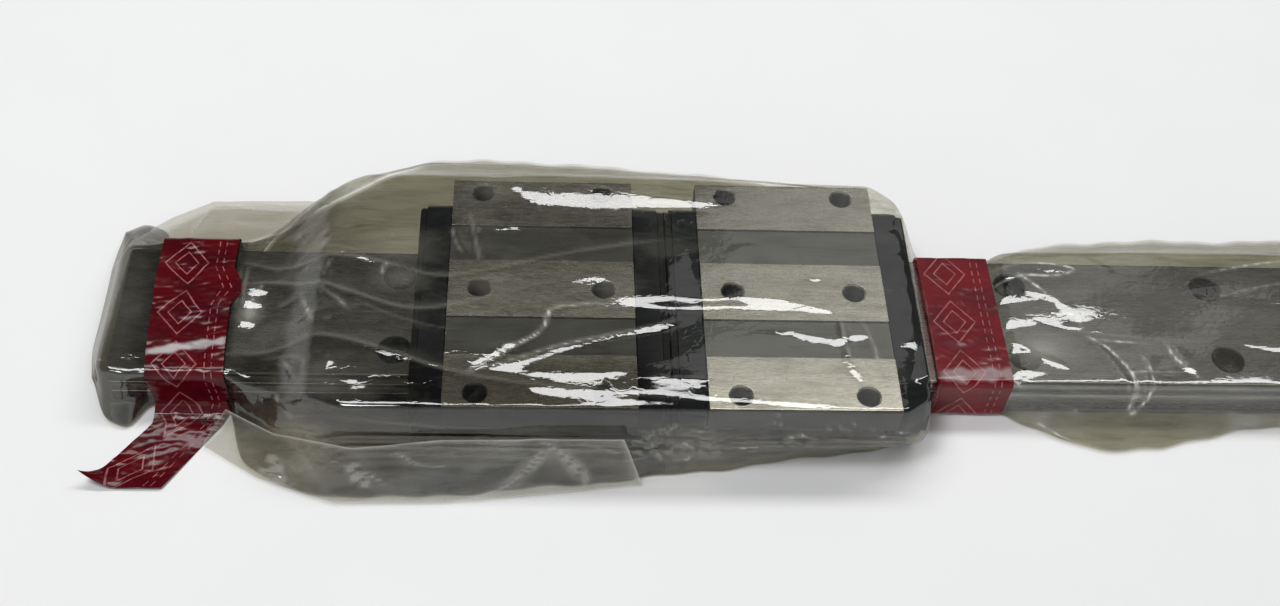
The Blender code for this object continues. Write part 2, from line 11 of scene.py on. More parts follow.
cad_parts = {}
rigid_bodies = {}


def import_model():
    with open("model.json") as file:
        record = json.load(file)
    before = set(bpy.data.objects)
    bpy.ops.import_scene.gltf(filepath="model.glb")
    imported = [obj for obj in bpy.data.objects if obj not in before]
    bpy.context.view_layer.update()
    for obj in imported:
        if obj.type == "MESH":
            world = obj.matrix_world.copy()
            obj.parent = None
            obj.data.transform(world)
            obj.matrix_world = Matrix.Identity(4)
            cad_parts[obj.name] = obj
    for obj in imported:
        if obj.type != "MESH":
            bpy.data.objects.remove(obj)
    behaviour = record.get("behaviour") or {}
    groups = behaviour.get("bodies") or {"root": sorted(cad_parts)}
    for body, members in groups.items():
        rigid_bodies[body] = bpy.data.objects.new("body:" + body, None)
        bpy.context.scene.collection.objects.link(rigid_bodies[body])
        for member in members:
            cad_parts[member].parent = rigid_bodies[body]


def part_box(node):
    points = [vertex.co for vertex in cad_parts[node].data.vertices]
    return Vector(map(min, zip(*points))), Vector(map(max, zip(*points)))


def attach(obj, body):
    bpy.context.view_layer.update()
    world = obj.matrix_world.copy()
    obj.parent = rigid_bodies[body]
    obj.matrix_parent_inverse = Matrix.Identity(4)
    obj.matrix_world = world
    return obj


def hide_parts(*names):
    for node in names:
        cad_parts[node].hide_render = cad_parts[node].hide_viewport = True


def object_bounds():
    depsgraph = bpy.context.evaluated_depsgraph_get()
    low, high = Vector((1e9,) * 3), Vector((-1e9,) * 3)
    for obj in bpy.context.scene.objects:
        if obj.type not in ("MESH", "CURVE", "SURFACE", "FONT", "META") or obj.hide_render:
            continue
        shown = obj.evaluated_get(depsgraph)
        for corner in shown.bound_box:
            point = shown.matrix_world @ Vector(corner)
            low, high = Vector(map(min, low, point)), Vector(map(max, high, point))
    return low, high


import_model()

MM = 0.001
CAD_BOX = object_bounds()

# Sizes repeated from the design
TOP_Z = 21 * MM
RAIL_HALF_WIDTH = 18.5 * MM
RAIL_HEIGHT = 11 * MM
HOLE_PITCH = 50 * MM
HOLE_ROW_Y = 11 * MM
BALL_RADIUS = 1.389 * MM
BALL_PITCH = 3.6 * MM
TRACK_RADIUS = 1.62 * MM
TRACK_OUTSIDE_RAIL = 0.5 * MM
RETURN_OFFSET = 5.3 * MM
TURN_CENTRE_X = 22.8 * MM
TRACK_HEIGHTS = {"upper": 8.8 * MM, "lower": 5.2 * MM}
CHANNEL_HALF_WIDTH = 19.5 * MM
CHANNEL_ROOF_Z = 11.8 * MM
BLOCK_HALF_LENGTH = 23 * MM
MOUNT_HOLE_X = 14.5 * MM
MOUNT_HOLE_ROW_Y = 30 * MM
SCREW_PLACES = {
    "rear_outer": (24 * MM, 15.6 * MM),
    "rear_inner": (10 * MM, 16.3 * MM),
    "front_inner": (-10 * MM, 16.3 * MM),
    "front_outer": (-24 * MM, 15.6 * MM),
}
PORT_Z = 16 * MM

# Radii of round holes, in mm
PORT_RADIUS = 2.9
PILOT_RADIUS = 1.3
SCREW_HEAD_BORE_RADIUS = 2.2

# Camera: the view's target, direction, distance, roll and lens
VIEW_TARGET = Vector((-41.2 * MM, 12.7 * MM, 0))
VIEW_DISTANCE = 387.2 * MM
VIEW_AZIMUTH = math.radians(-6.07)
VIEW_ELEVATION = math.radians(51.33)
VIEW_ROLL = math.radians(5.58)
VIEW_LENS = 43.4

COLLECTION = bpy.context.scene.collection


# Mesh helpers


def new_object(name, mesh, material, smooth_angle=None):
    obj = bpy.data.objects.new(name, mesh)
    COLLECTION.objects.link(obj)
    mesh.materials.clear()
    mesh.materials.append(material)
    if smooth_angle is not None:
        mesh.shade_smooth()
        mesh.set_sharp_from_angle(angle=math.radians(smooth_angle))
    return obj


def mesh_from(shape, name):
    bmesh.ops.recalc_face_normals(shape, faces=shape.faces)
    mesh = bpy.data.meshes.new(name)
    shape.to_mesh(mesh)
    shape.free()
    return mesh


def prism_mesh(name, outline, x_low, x_high):
    """A closed bar of one (Y, Z) outline from x_low to x_high."""
    shape = bmesh.new()
    face = shape.faces.new([shape.verts.new((x_low, y, z)) for y, z in outline])
    grown = bmesh.ops.extrude_face_region(shape, geom=[face])
    moved = [e for e in grown["geom"] if isinstance(e, bmesh.types.BMVert)]
    bmesh.ops.translate(shape, vec=(x_high - x_low, 0, 0), verts=moved)
    return mesh_from(shape, name)


def turned_mesh(name, profile, sides, origin=(0, 0, 0), along=(0, 0, 1)):
    """A closed turned solid of (radius, height) pairs, bottom to top, about an axis through origin."""
    shape = bmesh.new()
    rings = []
    for radius, height in profile:
        if radius <= 0:
            rings.append([shape.verts.new((0, 0, height))])
            continue
        angles = [2 * math.pi * side / sides for side in range(sides)]
        rings.append([shape.verts.new((radius * math.cos(a), radius * math.sin(a), height)) for a in angles])
    for low, high in zip(rings, rings[1:]):
        for side in range(sides):
            after = (side + 1) % sides
            corners = [low[side % len(low)], low[after % len(low)]]
            corners += [high[after % len(high)], high[side % len(high)]]
            distinct = list(dict.fromkeys(corners))
            if len(distinct) > 2:
                shape.faces.new(distinct)
    turn = Vector((0, 0, 1)).rotation_difference(Vector(along)).to_matrix().to_4x4()
    shape.transform(Matrix.Translation(Vector(origin)) @ turn)
    return mesh_from(shape, name)


def tube_mesh(name, points, radius, sides):
    """A tube along a closed loop of points, as a mesh."""
    curve = bpy.data.curves.new(name, "CURVE")
    curve.dimensions = "3D"
    curve.bevel_depth = radius
    curve.bevel_resolution = (sides - 4) // 2
    spline = curve.splines.new("POLY")
    spline.points.add(len(points) - 1)
    for point, place in zip(spline.points, points):
        point.co = (*place, 1)
    spline.use_cyclic_u = True
    obj = bpy.data.objects.new(name, curve)
    COLLECTION.objects.link(obj)
    mesh = evaluated_mesh(obj)
    bpy.data.objects.remove(obj)
    return mesh


def evaluated_mesh(obj):
    bpy.context.view_layer.update()
    graph = bpy.context.evaluated_depsgraph_get()
    return bpy.data.meshes.new_from_object(obj.evaluated_get(graph))


def cut(obj, cutter_meshes):
    """Subtracts the cutters from obj, all at once, and leaves a plain mesh."""
    cutters = bpy.data.collections.new(f"{obj.name}_cutters")
    COLLECTION.children.link(cutters)
    for mesh in cutter_meshes:
        cutters.objects.link(bpy.data.objects.new("cutter", mesh))
    subtract = obj.modifiers.new("cut", "BOOLEAN")
    subtract.operand_type = "COLLECTION"
    subtract.collection = cutters
    subtract.solver = "EXACT"
    finished = evaluated_mesh(obj)
    obj.modifiers.clear()
    obj.data = finished
    for cutter in list(cutters.objects):
        bpy.data.objects.remove(cutter)
    bpy.data.collections.remove(cutters)


def soften_edges(obj, width, segments, angle):
    """Rounds the sharp edges a little, so that they catch the light."""
    edge = obj.modifiers.new("edge", "BEVEL")
    edge.width = width
    edge.segments = segments
    edge.limit_method = "ANGLE"
    edge.angle_limit = math.radians(angle)
    edge.use_clamp_overlap = True
    edge.harden_normals = True
    obj.data.shade_smooth()
    obj.data.set_sharp_from_angle(angle=math.radians(30))
    flat = obj.modifiers.new("flat_faces", "WEIGHTED_NORMAL")
    flat.keep_sharp = True


def in_metres(*pairs):
    return [(a * MM, b * MM) for a, b in pairs]


def bore(radius, low, high):
    """The profile of a plain round cutter, from sizes in mm."""
    return in_metres((0, low), (radius, low), (radius, high), (0, high))


def stand_for(obj, body, slot, *nodes):
    """obj rides on the body and stands for the CAD nodes, which it hides. The slot is not used."""
    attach(obj, body)
    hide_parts(*nodes)


def mirrored(half):
    return half + [(-y, z) for y, z in reversed(half)]


# Materials


class Nodes:
    """A small writer of the nodes of a material or of the world."""

    def __init__(self, owner, output="ShaderNodeOutputMaterial"):
        owner.use_nodes = True
        self.owner = owner
        self.tree = owner.node_tree
        self.tree.nodes.clear()
        self.output = self.add(output)

    def add(self, kind, inputs=None, **settings):
        node = self.tree.nodes.new(kind)
        for key, value in settings.items():
            setattr(node, key, value)
        for key, value in (inputs or {}).items():
            self.give(node.inputs[key], value)
        return node

    def give(self, socket, value):
        if isinstance(value, bpy.types.NodeSocket):
            self.tree.links.new(value, socket)
        elif isinstance(value, bpy.types.Node):
            self.tree.links.new(value.outputs[0], socket)
        elif isinstance(value, tuple) and len(value) == 3 and socket.type == "RGBA":
            socket.default_value = (*value, 1)
        else:
            socket.default_value = value

    def place(self, scale):
        """Object coordinates in millimetres, divided by the scale along each axis."""
        coordinates = self.add("ShaderNodeTexCoord").outputs["Object"]
        return self.vector("MULTIPLY", {0: coordinates, 1: tuple(1000 / s for s in scale)})

    def vector(self, operation, inputs, output=0):
        return self.add("ShaderNodeVectorMath", inputs, operation=operation).outputs[output]

    def warp(self, size, amount):
        """A vector that bends another texture's coordinates."""
        inputs = {"Vector": self.place((size, size, size)), "Scale": 1, "Detail": 2}
        noise = self.add("ShaderNodeTexNoise", inputs)
        centred = self.vector("SUBTRACT", {0: noise.outputs["Color"], 1: (0.5, 0.5, 0.5)})
        return self.vector("SCALE", {0: centred, "Scale": 2 * amount})

    def attribute(self, name):
        return self.add("ShaderNodeAttribute", attribute_name=name).outputs["Fac"]

    def noise(self, scale, detail=4, roughness=0.55, distortion=0):
        """A noise whose features are about this many millimetres along each axis."""
        inputs = {"Vector": self.place(scale), "Scale": 1, "Detail": detail}
        inputs |= {"Roughness": roughness, "Distortion": distortion}
        return self.add("ShaderNodeTexNoise", inputs).outputs["Fac"]

    def ramp(self, factor, low, high, out_low=0.0, out_high=1.0, kind="SMOOTHSTEP"):
        """A step of factor from low to high, a smooth one unless kind says otherwise."""
        inputs = {"Value": factor, "From Min": low, "From Max": high, "To Min": out_low, "To Max": out_high}
        return self.add("ShaderNodeMapRange", inputs, interpolation_type=kind).outputs["Result"]

    def mix(self, factor, first, second):
        """A blend of two colours."""
        node = self.add("ShaderNodeMix", data_type="RGBA")
        self.give(node.inputs[0], factor)
        self.give(node.inputs[6], first)
        self.give(node.inputs[7], second)
        return node.outputs[2]

    def math(self, operation, first, second=0.0, third=0.0):
        node = self.add("ShaderNodeMath", operation=operation)
        for socket, value in zip(node.inputs, (first, second, third)):
            self.give(socket, value)
        return node.outputs[0]

    def plus(self, first, second):
        return self.math("ADD", first, second)

    def times(self, first, second):
        return self.math("MULTIPLY", first, second)

    def bump(self, height, distance_mm, strength=1.0, normal=None):
        inputs = {"Height": height, "Distance": distance_mm * MM, "Strength": strength}
        if normal:
            inputs["Normal"] = normal
        return self.add("ShaderNodeBump", inputs).outputs[0]

    def principled(self, **inputs):
        names = {key.replace("_", " ").title().replace("Ior", "IOR"): v for key, v in inputs.items()}
        return self.add("ShaderNodeBsdfPrincipled", names).outputs[0]

    def finish(self, surface):
        self.give(self.output.inputs["Surface"], surface)
        return self.owner


def new_material(name):
    return Nodes(bpy.data.materials.new(name))


def ground_steel(name, light, dark, roughness, stain=0.35):
    """Steel with surface-ground lines along X, a cloudy oil film and a few dull stains."""
    m = new_material(name)
    lines = m.noise((16, 0.13, 0.6), detail=3, roughness=0.6)
    fleck = m.noise((2.4, 0.22, 0.4), detail=2)
    cloud = m.noise((14, 8, 14), detail=4)
    spots = m.ramp(m.noise((3.2, 2.6, 3), detail=5, distortion=1.5), 0.58, 0.78)
    tone = m.mix(m.ramp(lines, 0.3, 0.7), dark, light)
    tone = m.mix(m.ramp(cloud, 0.3, 0.75, 0, 0.35), tone, dark)
    tone = m.mix(m.times(spots, stain), tone, tuple(0.5 * c for c in dark))
    rough = m.ramp(fleck, 0.25, 0.75, roughness - 0.03, roughness + 0.04)
    rough = m.plus(rough, m.times(spots, 0.1))
    relief = m.bump(lines, 0.006, 0.35)
    return m.finish(m.principled(base_color=tone, metallic=1.0, roughness=rough, normal=relief))


def milled_recess(name, dark, light):
    """The unground channels of the carriages: duller, darker and finely pitted. A darker copy is painted
    shade.
    """
    m = new_material(name)
    grain = m.noise((0.35, 0.35, 0.35), detail=5, roughness=0.65)
    cloud = m.noise((11, 6, 11), detail=3)
    tone = m.mix(m.ramp(grain, 0.25, 0.8), dark, light)
    tone = m.mix(m.ramp(cloud, 0.3, 0.8, 0, 0.4), tone, tuple(0.8 * c for c in dark))
    rough = m.ramp(grain, 0.2, 0.8, 0.42, 0.58)
    relief = m.bump(grain, 0.03, 0.5)
    return m.finish(m.principled(base_color=tone, metallic=1.0, roughness=rough, normal=relief))


def polished_steel(name):
    """Hardened and polished steel of the balls."""
    m = new_material(name)
    wear = m.noise((0.8, 0.8, 0.8), detail=3)
    rough = m.ramp(wear, 0.3, 0.8, 0.06, 0.16)
    tone = m.mix(wear, (0.62, 0.62, 0.63), (0.72, 0.72, 0.72))
    return m.finish(m.principled(base_color=tone, metallic=1.0, roughness=rough))


def moulded_resin(name, colour, dusty, roughness):
    """Injection-moulded plastic or rubber with a fine spark-eroded texture and light smudges."""
    m = new_material(name)
    grain = m.noise((0.22, 0.22, 0.22), detail=4, roughness=0.7)
    smudge = m.ramp(m.noise((5, 7, 6), detail=6, roughness=0.62, distortion=0.8), 0.52, 0.78)
    tone = m.mix(m.times(smudge, 0.55), colour, dusty)
    rough = m.ramp(grain, 0.3, 0.7, roughness - 0.05, roughness + 0.07)
    rough = m.plus(rough, m.times(smudge, 0.12))
    relief = m.bump(grain, 0.02, 0.5)
    return m.finish(m.principled(base_color=tone, roughness=rough, normal=relief, specular_ior_level=0.22))


def black_oxide(name):
    """Blackened screw steel, worn bright in places."""
    m = new_material(name)
    wear = m.ramp(m.noise((0.6, 0.6, 0.6), detail=4), 0.55, 0.75)
    tone = m.mix(wear, (0.035, 0.035, 0.037), (0.12, 0.115, 0.11))
    rough = m.ramp(wear, 0, 1, 0.42, 0.28)
    return m.finish(m.principled(base_color=tone, metallic=0.9, roughness=rough))


def clear_film(name, tint, veil_and_shade_tint, haze_colour, haze_low, haze_high, shine=0.08):
    """Thin clear film: tinted see-through, sharp two-sided gloss, faint crinkles and cloudy smears."""
    m = new_material(name)
    place = m.vector("ADD", {0: m.place((12, 4, 4)), 1: m.warp(5.0, 0.9)})
    cells = m.add("ShaderNodeTexVoronoi", {"Vector": place, "Scale": 1.0}, feature="DISTANCE_TO_EDGE")
    crinkle = cells.outputs["Distance"]
    relief = m.bump(m.noise((7, 3, 3), detail=2), 0.10, 0.35)
    relief = m.bump(m.ramp(crinkle, 0.0, 0.12), 0.02, 0.35, relief)
    veil = m.attribute("veil")
    cloud = m.noise((13, 7, 7), detail=5, roughness=0.6, distortion=0.6)
    edge = m.attribute("edge")
    smear = m.noise((11, 1.4, 1.4), detail=4)
    speck = m.ramp(m.noise((0.9, 0.7, 0.7), detail=2), 0.72, 0.77)
    haze = m.ramp(cloud, 0.36, 0.76, haze_low, haze_high)
    haze = m.plus(haze, m.times(speck, 0.04))
    haze = m.plus(haze, m.ramp(crinkle, 0.0, 0.025, 0.035, 0.0))
    haze = m.plus(haze, m.times(veil, m.ramp(smear, 0.3, 0.7, 0.0, 0.02)))
    haze = m.plus(haze, m.times(edge, 0.45))
    # Darker see-through colour where the bag lies double and where shade is painted on
    doubled_and_shaded = m.math("MINIMUM", m.plus(veil, m.ramp(smear, 0.45, 0.75, 0, 0.35)), 1.0)
    see_through = m.add("ShaderNodeBsdfTransparent", {"Color": m.mix(doubled_and_shaded, tint, veil_and_shade_tint)})
    # Painted glints: where the edge attribute is strong the haze turns near-white, for glinting creases and
    # bubbles as well as whitened film
    whitened_and_glinting = m.mix(m.ramp(edge, 0.45, 1.2, 0, 0.85), haze_colour, (0.95, 0.95, 0.93))
    cloudy = m.add("ShaderNodeBsdfDiffuse", {"Color": whitened_and_glinting, "Normal": relief})
    dull = m.ramp(m.noise((16, 9, 9), detail=4), 0.45, 0.75, 0.04, 0.10)
    gloss = m.add("ShaderNodeBsdfGlossy", {"Color": (1, 1, 1), "Roughness": dull, "Normal": relief})
    facing = m.add("ShaderNodeLayerWeight", {"Blend": 0.5, "Normal": relief}).outputs["Facing"]
    both_faces = m.math("MULTIPLY_ADD", m.math("POWER", facing, 5.0), 0.40, shine)
    body = m.add("ShaderNodeMixShader", {0: haze, 1: see_through, 2: cloudy})
    return m.finish(m.add("ShaderNodeMixShader", {0: both_faces, 1: body, 2: gloss}))


def printed_tape(name, light, dark):
    """Deep red glossy tape with pale outlined lozenges and two rows of dashes, frosted where it creases."""
    m = new_material(name)
    uv = m.add("ShaderNodeUVMap", uv_map="tape")
    parts = m.add("ShaderNodeSeparateXYZ", {0: uv.outputs[0]})
    along, across = parts.outputs[0], parts.outputs[1]

    def distance_from(value, centre):
        return m.math("ABSOLUTE", m.math("SUBTRACT", value, centre))

    def line(value, place, half_width):
        return m.math("LESS_THAN", distance_from(value, place), half_width)

    # Lozenges, outlined twice
    repeat = 15.0
    phase = m.math("FRACT", m.math("DIVIDE", along, repeat))
    steps = m.times(distance_from(phase, 0.5), repeat)
    lozenge = m.plus(steps, m.times(distance_from(across, 6.6), 1.25))
    outline = m.math("MAXIMUM", line(lozenge, 6.4, 0.28), line(lozenge, 3.4, 0.24))
    # Two rows of dashes along one edge
    dash = m.math("LESS_THAN", m.math("FRACT", m.math("DIVIDE", along, 2.6)), 0.55)
    row = m.math("MAXIMUM", line(across, 13.6, 0.13), line(across, 15.2, 0.13))
    ink = m.math("MAXIMUM", outline, m.times(row, dash))
    worn = m.ramp(m.noise((1.6, 1.6, 1.6), detail=4), 0.30, 0.62, 0.25, 0.9)
    ink = m.times(ink, worn)

    frost_noise = m.noise((5.5, 4.5, 4.5), detail=5, roughness=0.55, distortion=0.5)
    frost = m.ramp(frost_noise, 0.60, 0.80)
    smoky = m.ramp(m.noise((9, 7, 7), detail=4), 0.35, 0.7)
    glare = m.attribute("glare")
    tone = m.mix(smoky, light, dark)
    tone = m.mix(ink, tone, (0.38, 0.13, 0.13))
    tone = m.mix(m.times(frost, 0.15), tone, (0.36, 0.16, 0.18))
    # Painted glare: the tape turns pale in a frosted-looking line where the glare attribute is set
    pale = m.times(glare, m.ramp(frost_noise, 0.25, 0.6, 0.5, 1.0))
    tone = m.mix(pale, tone, (0.50, 0.46, 0.46))
    rough = m.ramp(frost, 0, 1, 0.18, 0.42)
    wrinkle = m.noise((3.2, 2.0, 2.0), detail=3, roughness=0.5)
    relief = m.bump(wrinkle, 0.12, 0.4)
    coat = {"coat_weight": 0.15, "coat_roughness": 0.08}
    return m.finish(
        m.principled(base_color=tone, roughness=rough, normal=relief, specular_ior_level=0.22, **coat)
    )


RAIL_STEEL = ground_steel("rail_ground_steel", (0.20, 0.20, 0.197), (0.14, 0.14, 0.138), roughness=0.28)
TRACK_STEEL = ground_steel(
    "track_ground_steel", (0.34, 0.34, 0.335), (0.25, 0.25, 0.245), roughness=0.2, stain=0.1
)
STRIP_STEEL = ground_steel("strip_ground_steel", (0.50, 0.49, 0.455), (0.39, 0.38, 0.35), roughness=0.26)
RECESS_STEEL = milled_recess("unground_steel", (0.105, 0.108, 0.105), (0.155, 0.155, 0.15))
# Painted shade: a darker copy of the unground steel, for the insides of the holes and the flange sides
BORE_AND_SIDE_SHADE_STEEL = milled_recess("bore_and_flange_side_painted_shade", (0.055, 0.057, 0.056), (0.095, 0.095, 0.092))
BALL_STEEL = polished_steel("ball_steel")
RESIN = moulded_resin("end_plate_resin", (0.003, 0.0065, 0.008), (0.010, 0.015, 0.0165), roughness=0.45)
RUBBER = moulded_resin("seal_rubber_black", (0.0035, 0.0048, 0.005), (0.011, 0.012, 0.012), roughness=0.62)
CAGE_RESIN = moulded_resin("cage_resin", (0.16, 0.15, 0.12), (0.2, 0.19, 0.15), roughness=0.5)
OXIDE = black_oxide("screw_black_oxide")
FILM = clear_film(
    "bag_film", tint=(0.86, 0.85, 0.795), veil_and_shade_tint=(0.31, 0.30, 0.262), haze_colour=(0.44, 0.425, 0.35),
    haze_low=-0.03, haze_high=0.035,
)
# Painted shade: the lower web is the same film as the upper one, with a darker, browner tint for the shade
# under the guide
SHADED_LOWER_FILM = clear_film(
    "bag_film_lower_painted_shade", tint=(0.76, 0.745, 0.665), veil_and_shade_tint=(0.45, 0.43, 0.355),
    haze_colour=(0.42, 0.405, 0.34), haze_low=0.02, haze_high=0.10,
)
FLAP_FILM = clear_film(
    "bag_film_flap", tint=(0.80, 0.79, 0.73), veil_and_shade_tint=(0.6, 0.58, 0.5), haze_colour=(0.58, 0.565, 0.51),
    haze_low=0.04, haze_high=0.17, shine=0.045,
)
RIGHT_TAPE = printed_tape("printed_red_tape", (0.150, 0.002, 0.006), (0.085, 0.002, 0.006))
# Painted shade: a darker copy of the same red tape for the left band, which gets less light
SHADED_LEFT_TAPE = printed_tape("printed_red_tape_painted_shade", (0.090, 0.001, 0.004), (0.050, 0.001, 0.004))


# Rail


def arc(centre, radius, start, end, steps):
    angles = [start + (end - start) * step / steps for step in range(steps + 1)]
    return [(centre[0] + radius * math.cos(a), centre[1] + radius * math.sin(a)) for a in angles]


def track_arcs(side_y, radius, steps):
    """The ball tracks in a side at side_y, top to bottom."""
    centre_y = RAIL_HALF_WIDTH + TRACK_OUTSIDE_RAIL
    half = math.acos((centre_y - side_y) / radius)
    points = []
    for centre_z in TRACK_HEIGHTS.values():
        points += arc((centre_y, centre_z), radius, math.pi - half, math.pi + half, steps)
    return points


def make_rail():
    low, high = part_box("rail")
    side = [(RAIL_HALF_WIDTH - 0.5 * MM, RAIL_HEIGHT), (RAIL_HALF_WIDTH - 0.1 * MM, RAIL_HEIGHT - 0.12 * MM)]
    side += [(RAIL_HALF_WIDTH, RAIL_HEIGHT - 0.3 * MM)]
    side += track_arcs(RAIL_HALF_WIDTH, TRACK_RADIUS, 14)
    side += [(RAIL_HALF_WIDTH, 0.5 * MM), (RAIL_HALF_WIDTH - 0.5 * MM, 0)]
    rail = new_object("rail_ground", prism_mesh("rail_ground", mirrored(side), low.x, high.x), RAIL_STEEL)
    hole = in_metres((0, -1), (2.6, -1), (2.6, 0), (2.25, 0.35), (2.25, 5.7))
    hole += in_metres((3.75, 5.7), (3.75, 10.7), (4.05, 11), (4.05, 12), (0, 12))
    places = [(column * HOLE_PITCH, y, 0) for column in range(-3, 4) for y in (-HOLE_ROW_Y, HOLE_ROW_Y)]
    cut(rail, [turned_mesh("hole", hole, 48, place) for place in places])
    rail.data.materials.append(TRACK_STEEL)
    for face in rail.data.polygons:
        y, z = abs(face.center.y), face.center.z
        in_track = any(abs(z - height) < 1.55 * MM for height in TRACK_HEIGHTS.values())
        face.material_index = int(in_track and RAIL_HALF_WIDTH - 1.5 * MM < y < RAIL_HALF_WIDTH - 0.01 * MM)
    soften_edges(rail, 0.12 * MM, segments=1, angle=50)
    stand_for(rail, "guide_rail", "rail_steel", "rail")


# Ball circuits


def loop_point(distance, side, height):
    """The point this far along a ball loop: down the loaded track, round, back and round again."""
    straight, radius = 2 * TURN_CENTRE_X, RETURN_OFFSET / 2
    turn = math.pi * radius
    inner_y = RAIL_HALF_WIDTH + TRACK_OUTSIDE_RAIL
    distance %= 2 * (straight + turn)
    if distance < straight:
        x, y = distance - TURN_CENTRE_X, inner_y
    elif distance < straight + turn:
        angle = (distance - straight) / radius
        x, y = TURN_CENTRE_X + radius * math.sin(angle), inner_y + radius - radius * math.cos(angle)
    elif distance < 2 * straight + turn:
        x, y = TURN_CENTRE_X - (distance - straight - turn), inner_y + RETURN_OFFSET
    else:
        angle = (distance - 2 * straight - turn) / radius
        x, y = -TURN_CENTRE_X - radius * math.sin(angle), inner_y + radius + radius * math.cos(angle)
    return Vector((x, side * y, height))


def loop_points(side, height, centre_x, count):
    length = 4 * TURN_CENTRE_X + math.pi * RETURN_OFFSET
    return [loop_point(length * i / count, side, height) + Vector((centre_x, 0, 0)) for i in range(count)]


def make_ball_train(name, side, height, centre_x, body):
    """True balls, with the spacers and the thin belt of their cage in a second material."""
    length = 4 * TURN_CENTRE_X + math.pi * RETURN_OFFSET
    count = round(length / BALL_PITCH)
    balls = bmesh.new()
    for i in range(count):
        at = loop_point(length * (i + 0.5) / count, side, height) + Vector((centre_x, 0, 0))
        spot = Matrix.Translation(at)
        bmesh.ops.create_uvsphere(balls, u_segments=16, v_segments=10, radius=BALL_RADIUS, matrix=spot)
    ball_faces = len(balls.faces)
    loop = loop_points(side, height, centre_x, 72)
    belt = tube_mesh(f"{name}_belt", loop, radius=0.42 * MM, sides=6)
    balls.from_mesh(belt)
    disc = in_metres((0, -0.3), (0.95, -0.2), (0.95, 0.2), (0, 0.3))
    for i in range(count):
        at = loop_point(length * i / count, side, height)
        ahead = loop_point(length * (i + 0.02) / count, side, height) - at
        place = at + Vector((centre_x, 0, 0))
        balls.from_mesh(turned_mesh("spacer", disc, 12, place, ahead.normalized()))
    balls.faces.ensure_lookup_table()
    for face in balls.faces[ball_faces:]:
        face.material_index = 1
    mesh = bpy.data.meshes.new(name)
    balls.to_mesh(mesh)
    balls.free()
    obj = new_object(f"{name}_caged", mesh, BALL_STEEL, smooth_angle=45)
    mesh.materials.append(CAGE_RESIN)
    stand_for(obj, body, "bearing_steel", name)


def track_cutters(centre_x):
    loops = [loop_points(s, height, centre_x, 96) for s in (-1, 1) for height in TRACK_HEIGHTS.values()]
    return [tube_mesh("track", loop, TRACK_RADIUS, sides=16) for loop in loops]


# Carriage


def block_outline():
    half = in_metres(
        (8.5, 21.0), (8.55, 20.6), (8.7, 20.5), (19.1, 20.5), (19.25, 20.6), (19.3, 21.0),
        (33.6, 21.0), (33.9, 20.9), (34.0, 20.6), (34.0, 13.4), (33.9, 13.1), (33.6, 13.0),
        (28.7, 13.0), (27.9, 12.7), (27.5, 11.9), (27.5, 4.0), (27.2, 3.3), (26.5, 3.0), (19.5, 3.0),
    )
    half += [(CHANNEL_HALF_WIDTH, CHANNEL_ROOF_Z - 0.4 * MM), (CHANNEL_HALF_WIDTH - 0.4 * MM, CHANNEL_ROOF_Z)]
    return mirrored(half)


def threaded_hole(depth, bottom_open):
    """A cutter for an M5 hole, from the top face down: countersink, then thread ridges."""
    crest, root, pitch = 2.15 * MM, 2.48 * MM, 0.8 * MM
    profile = in_metres((0, 1), (2.85, 1), (2.85, 0), (2.48, -0.42))
    z = -0.42 * MM
    while z > -depth + pitch:
        ridge = ((crest, 0.35), (crest, 0.5), (root, 0.85), (root, 1))
        profile += [(radius, z - share * pitch) for radius, share in ridge]
        z -= pitch
    if bottom_open:
        profile += [(2.7 * MM, z - 0.3 * MM), (2.7 * MM, z - 3 * MM), (0, z - 3 * MM)]
    else:
        profile += [(crest, z - 0.4 * MM), (0, z - 1.4 * MM)]
    return list(reversed(profile))


def make_block(label):
    node = f"{label}_block"
    low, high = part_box(node)
    centre_x = (low.x + high.x) / 2
    block = new_object(f"{node}_ground", prism_mesh(node, block_outline(), low.x, high.x), STRIP_STEEL)
    for steel in (RECESS_STEEL, BORE_AND_SIDE_SHADE_STEEL):
        block.data.materials.append(steel)
    cutters = track_cutters(centre_x)
    through_hole = threaded_hole(8.0 * MM, bottom_open=True)
    blind_hole = threaded_hole(6.6 * MM, bottom_open=False)
    for x in (-MOUNT_HOLE_X, MOUNT_HOLE_X):
        for y in (-MOUNT_HOLE_ROW_Y, MOUNT_HOLE_ROW_Y):
            cutters.append(turned_mesh("hole", through_hole, 40, (centre_x + x, y, TOP_Z)))
        cutters.append(turned_mesh("hole", blind_hole, 40, (centre_x + x, 0, TOP_Z)))
    pilot = in_metres((0, 0), (PILOT_RADIUS, 0), (PILOT_RADIUS, 7), (0, 7.6))
    for end in (-1, 1):
        for y, z in SCREW_PLACES.values():
            start = (centre_x + end * BLOCK_HALF_LENGTH, y, z)
            cutters.append(turned_mesh("pilot", pilot, 20, start, (-end, 0, 0)))
    cut(block, cutters)
    for face in block.data.polygons:
        x, y, z = face.center.x - centre_x, abs(face.center.y), face.center.z
        to_hole = min(math.hypot(abs(x) - MOUNT_HOLE_X, y - row) for row in (0, MOUNT_HOLE_ROW_Y))
        in_bore = to_hole < 2.6 * MM and z < TOP_Z - 0.45 * MM
        flange_side = y > 33.9 * MM
        unground_top = 8.6 * MM < y < 19.2 * MM and z > 20.3 * MM
        under_flange = z < 12.95 * MM
        end_face = abs(face.normal.x) > 0.9
        # The insides of the holes and the flange sides take the painted-shade steel
        face.material_index = 2 if in_bore or flange_side else int(unground_top or under_flange or end_face)
    soften_edges(block, 0.10 * MM, segments=1, angle=45)
    stand_for(block, label, "block_steel", node)


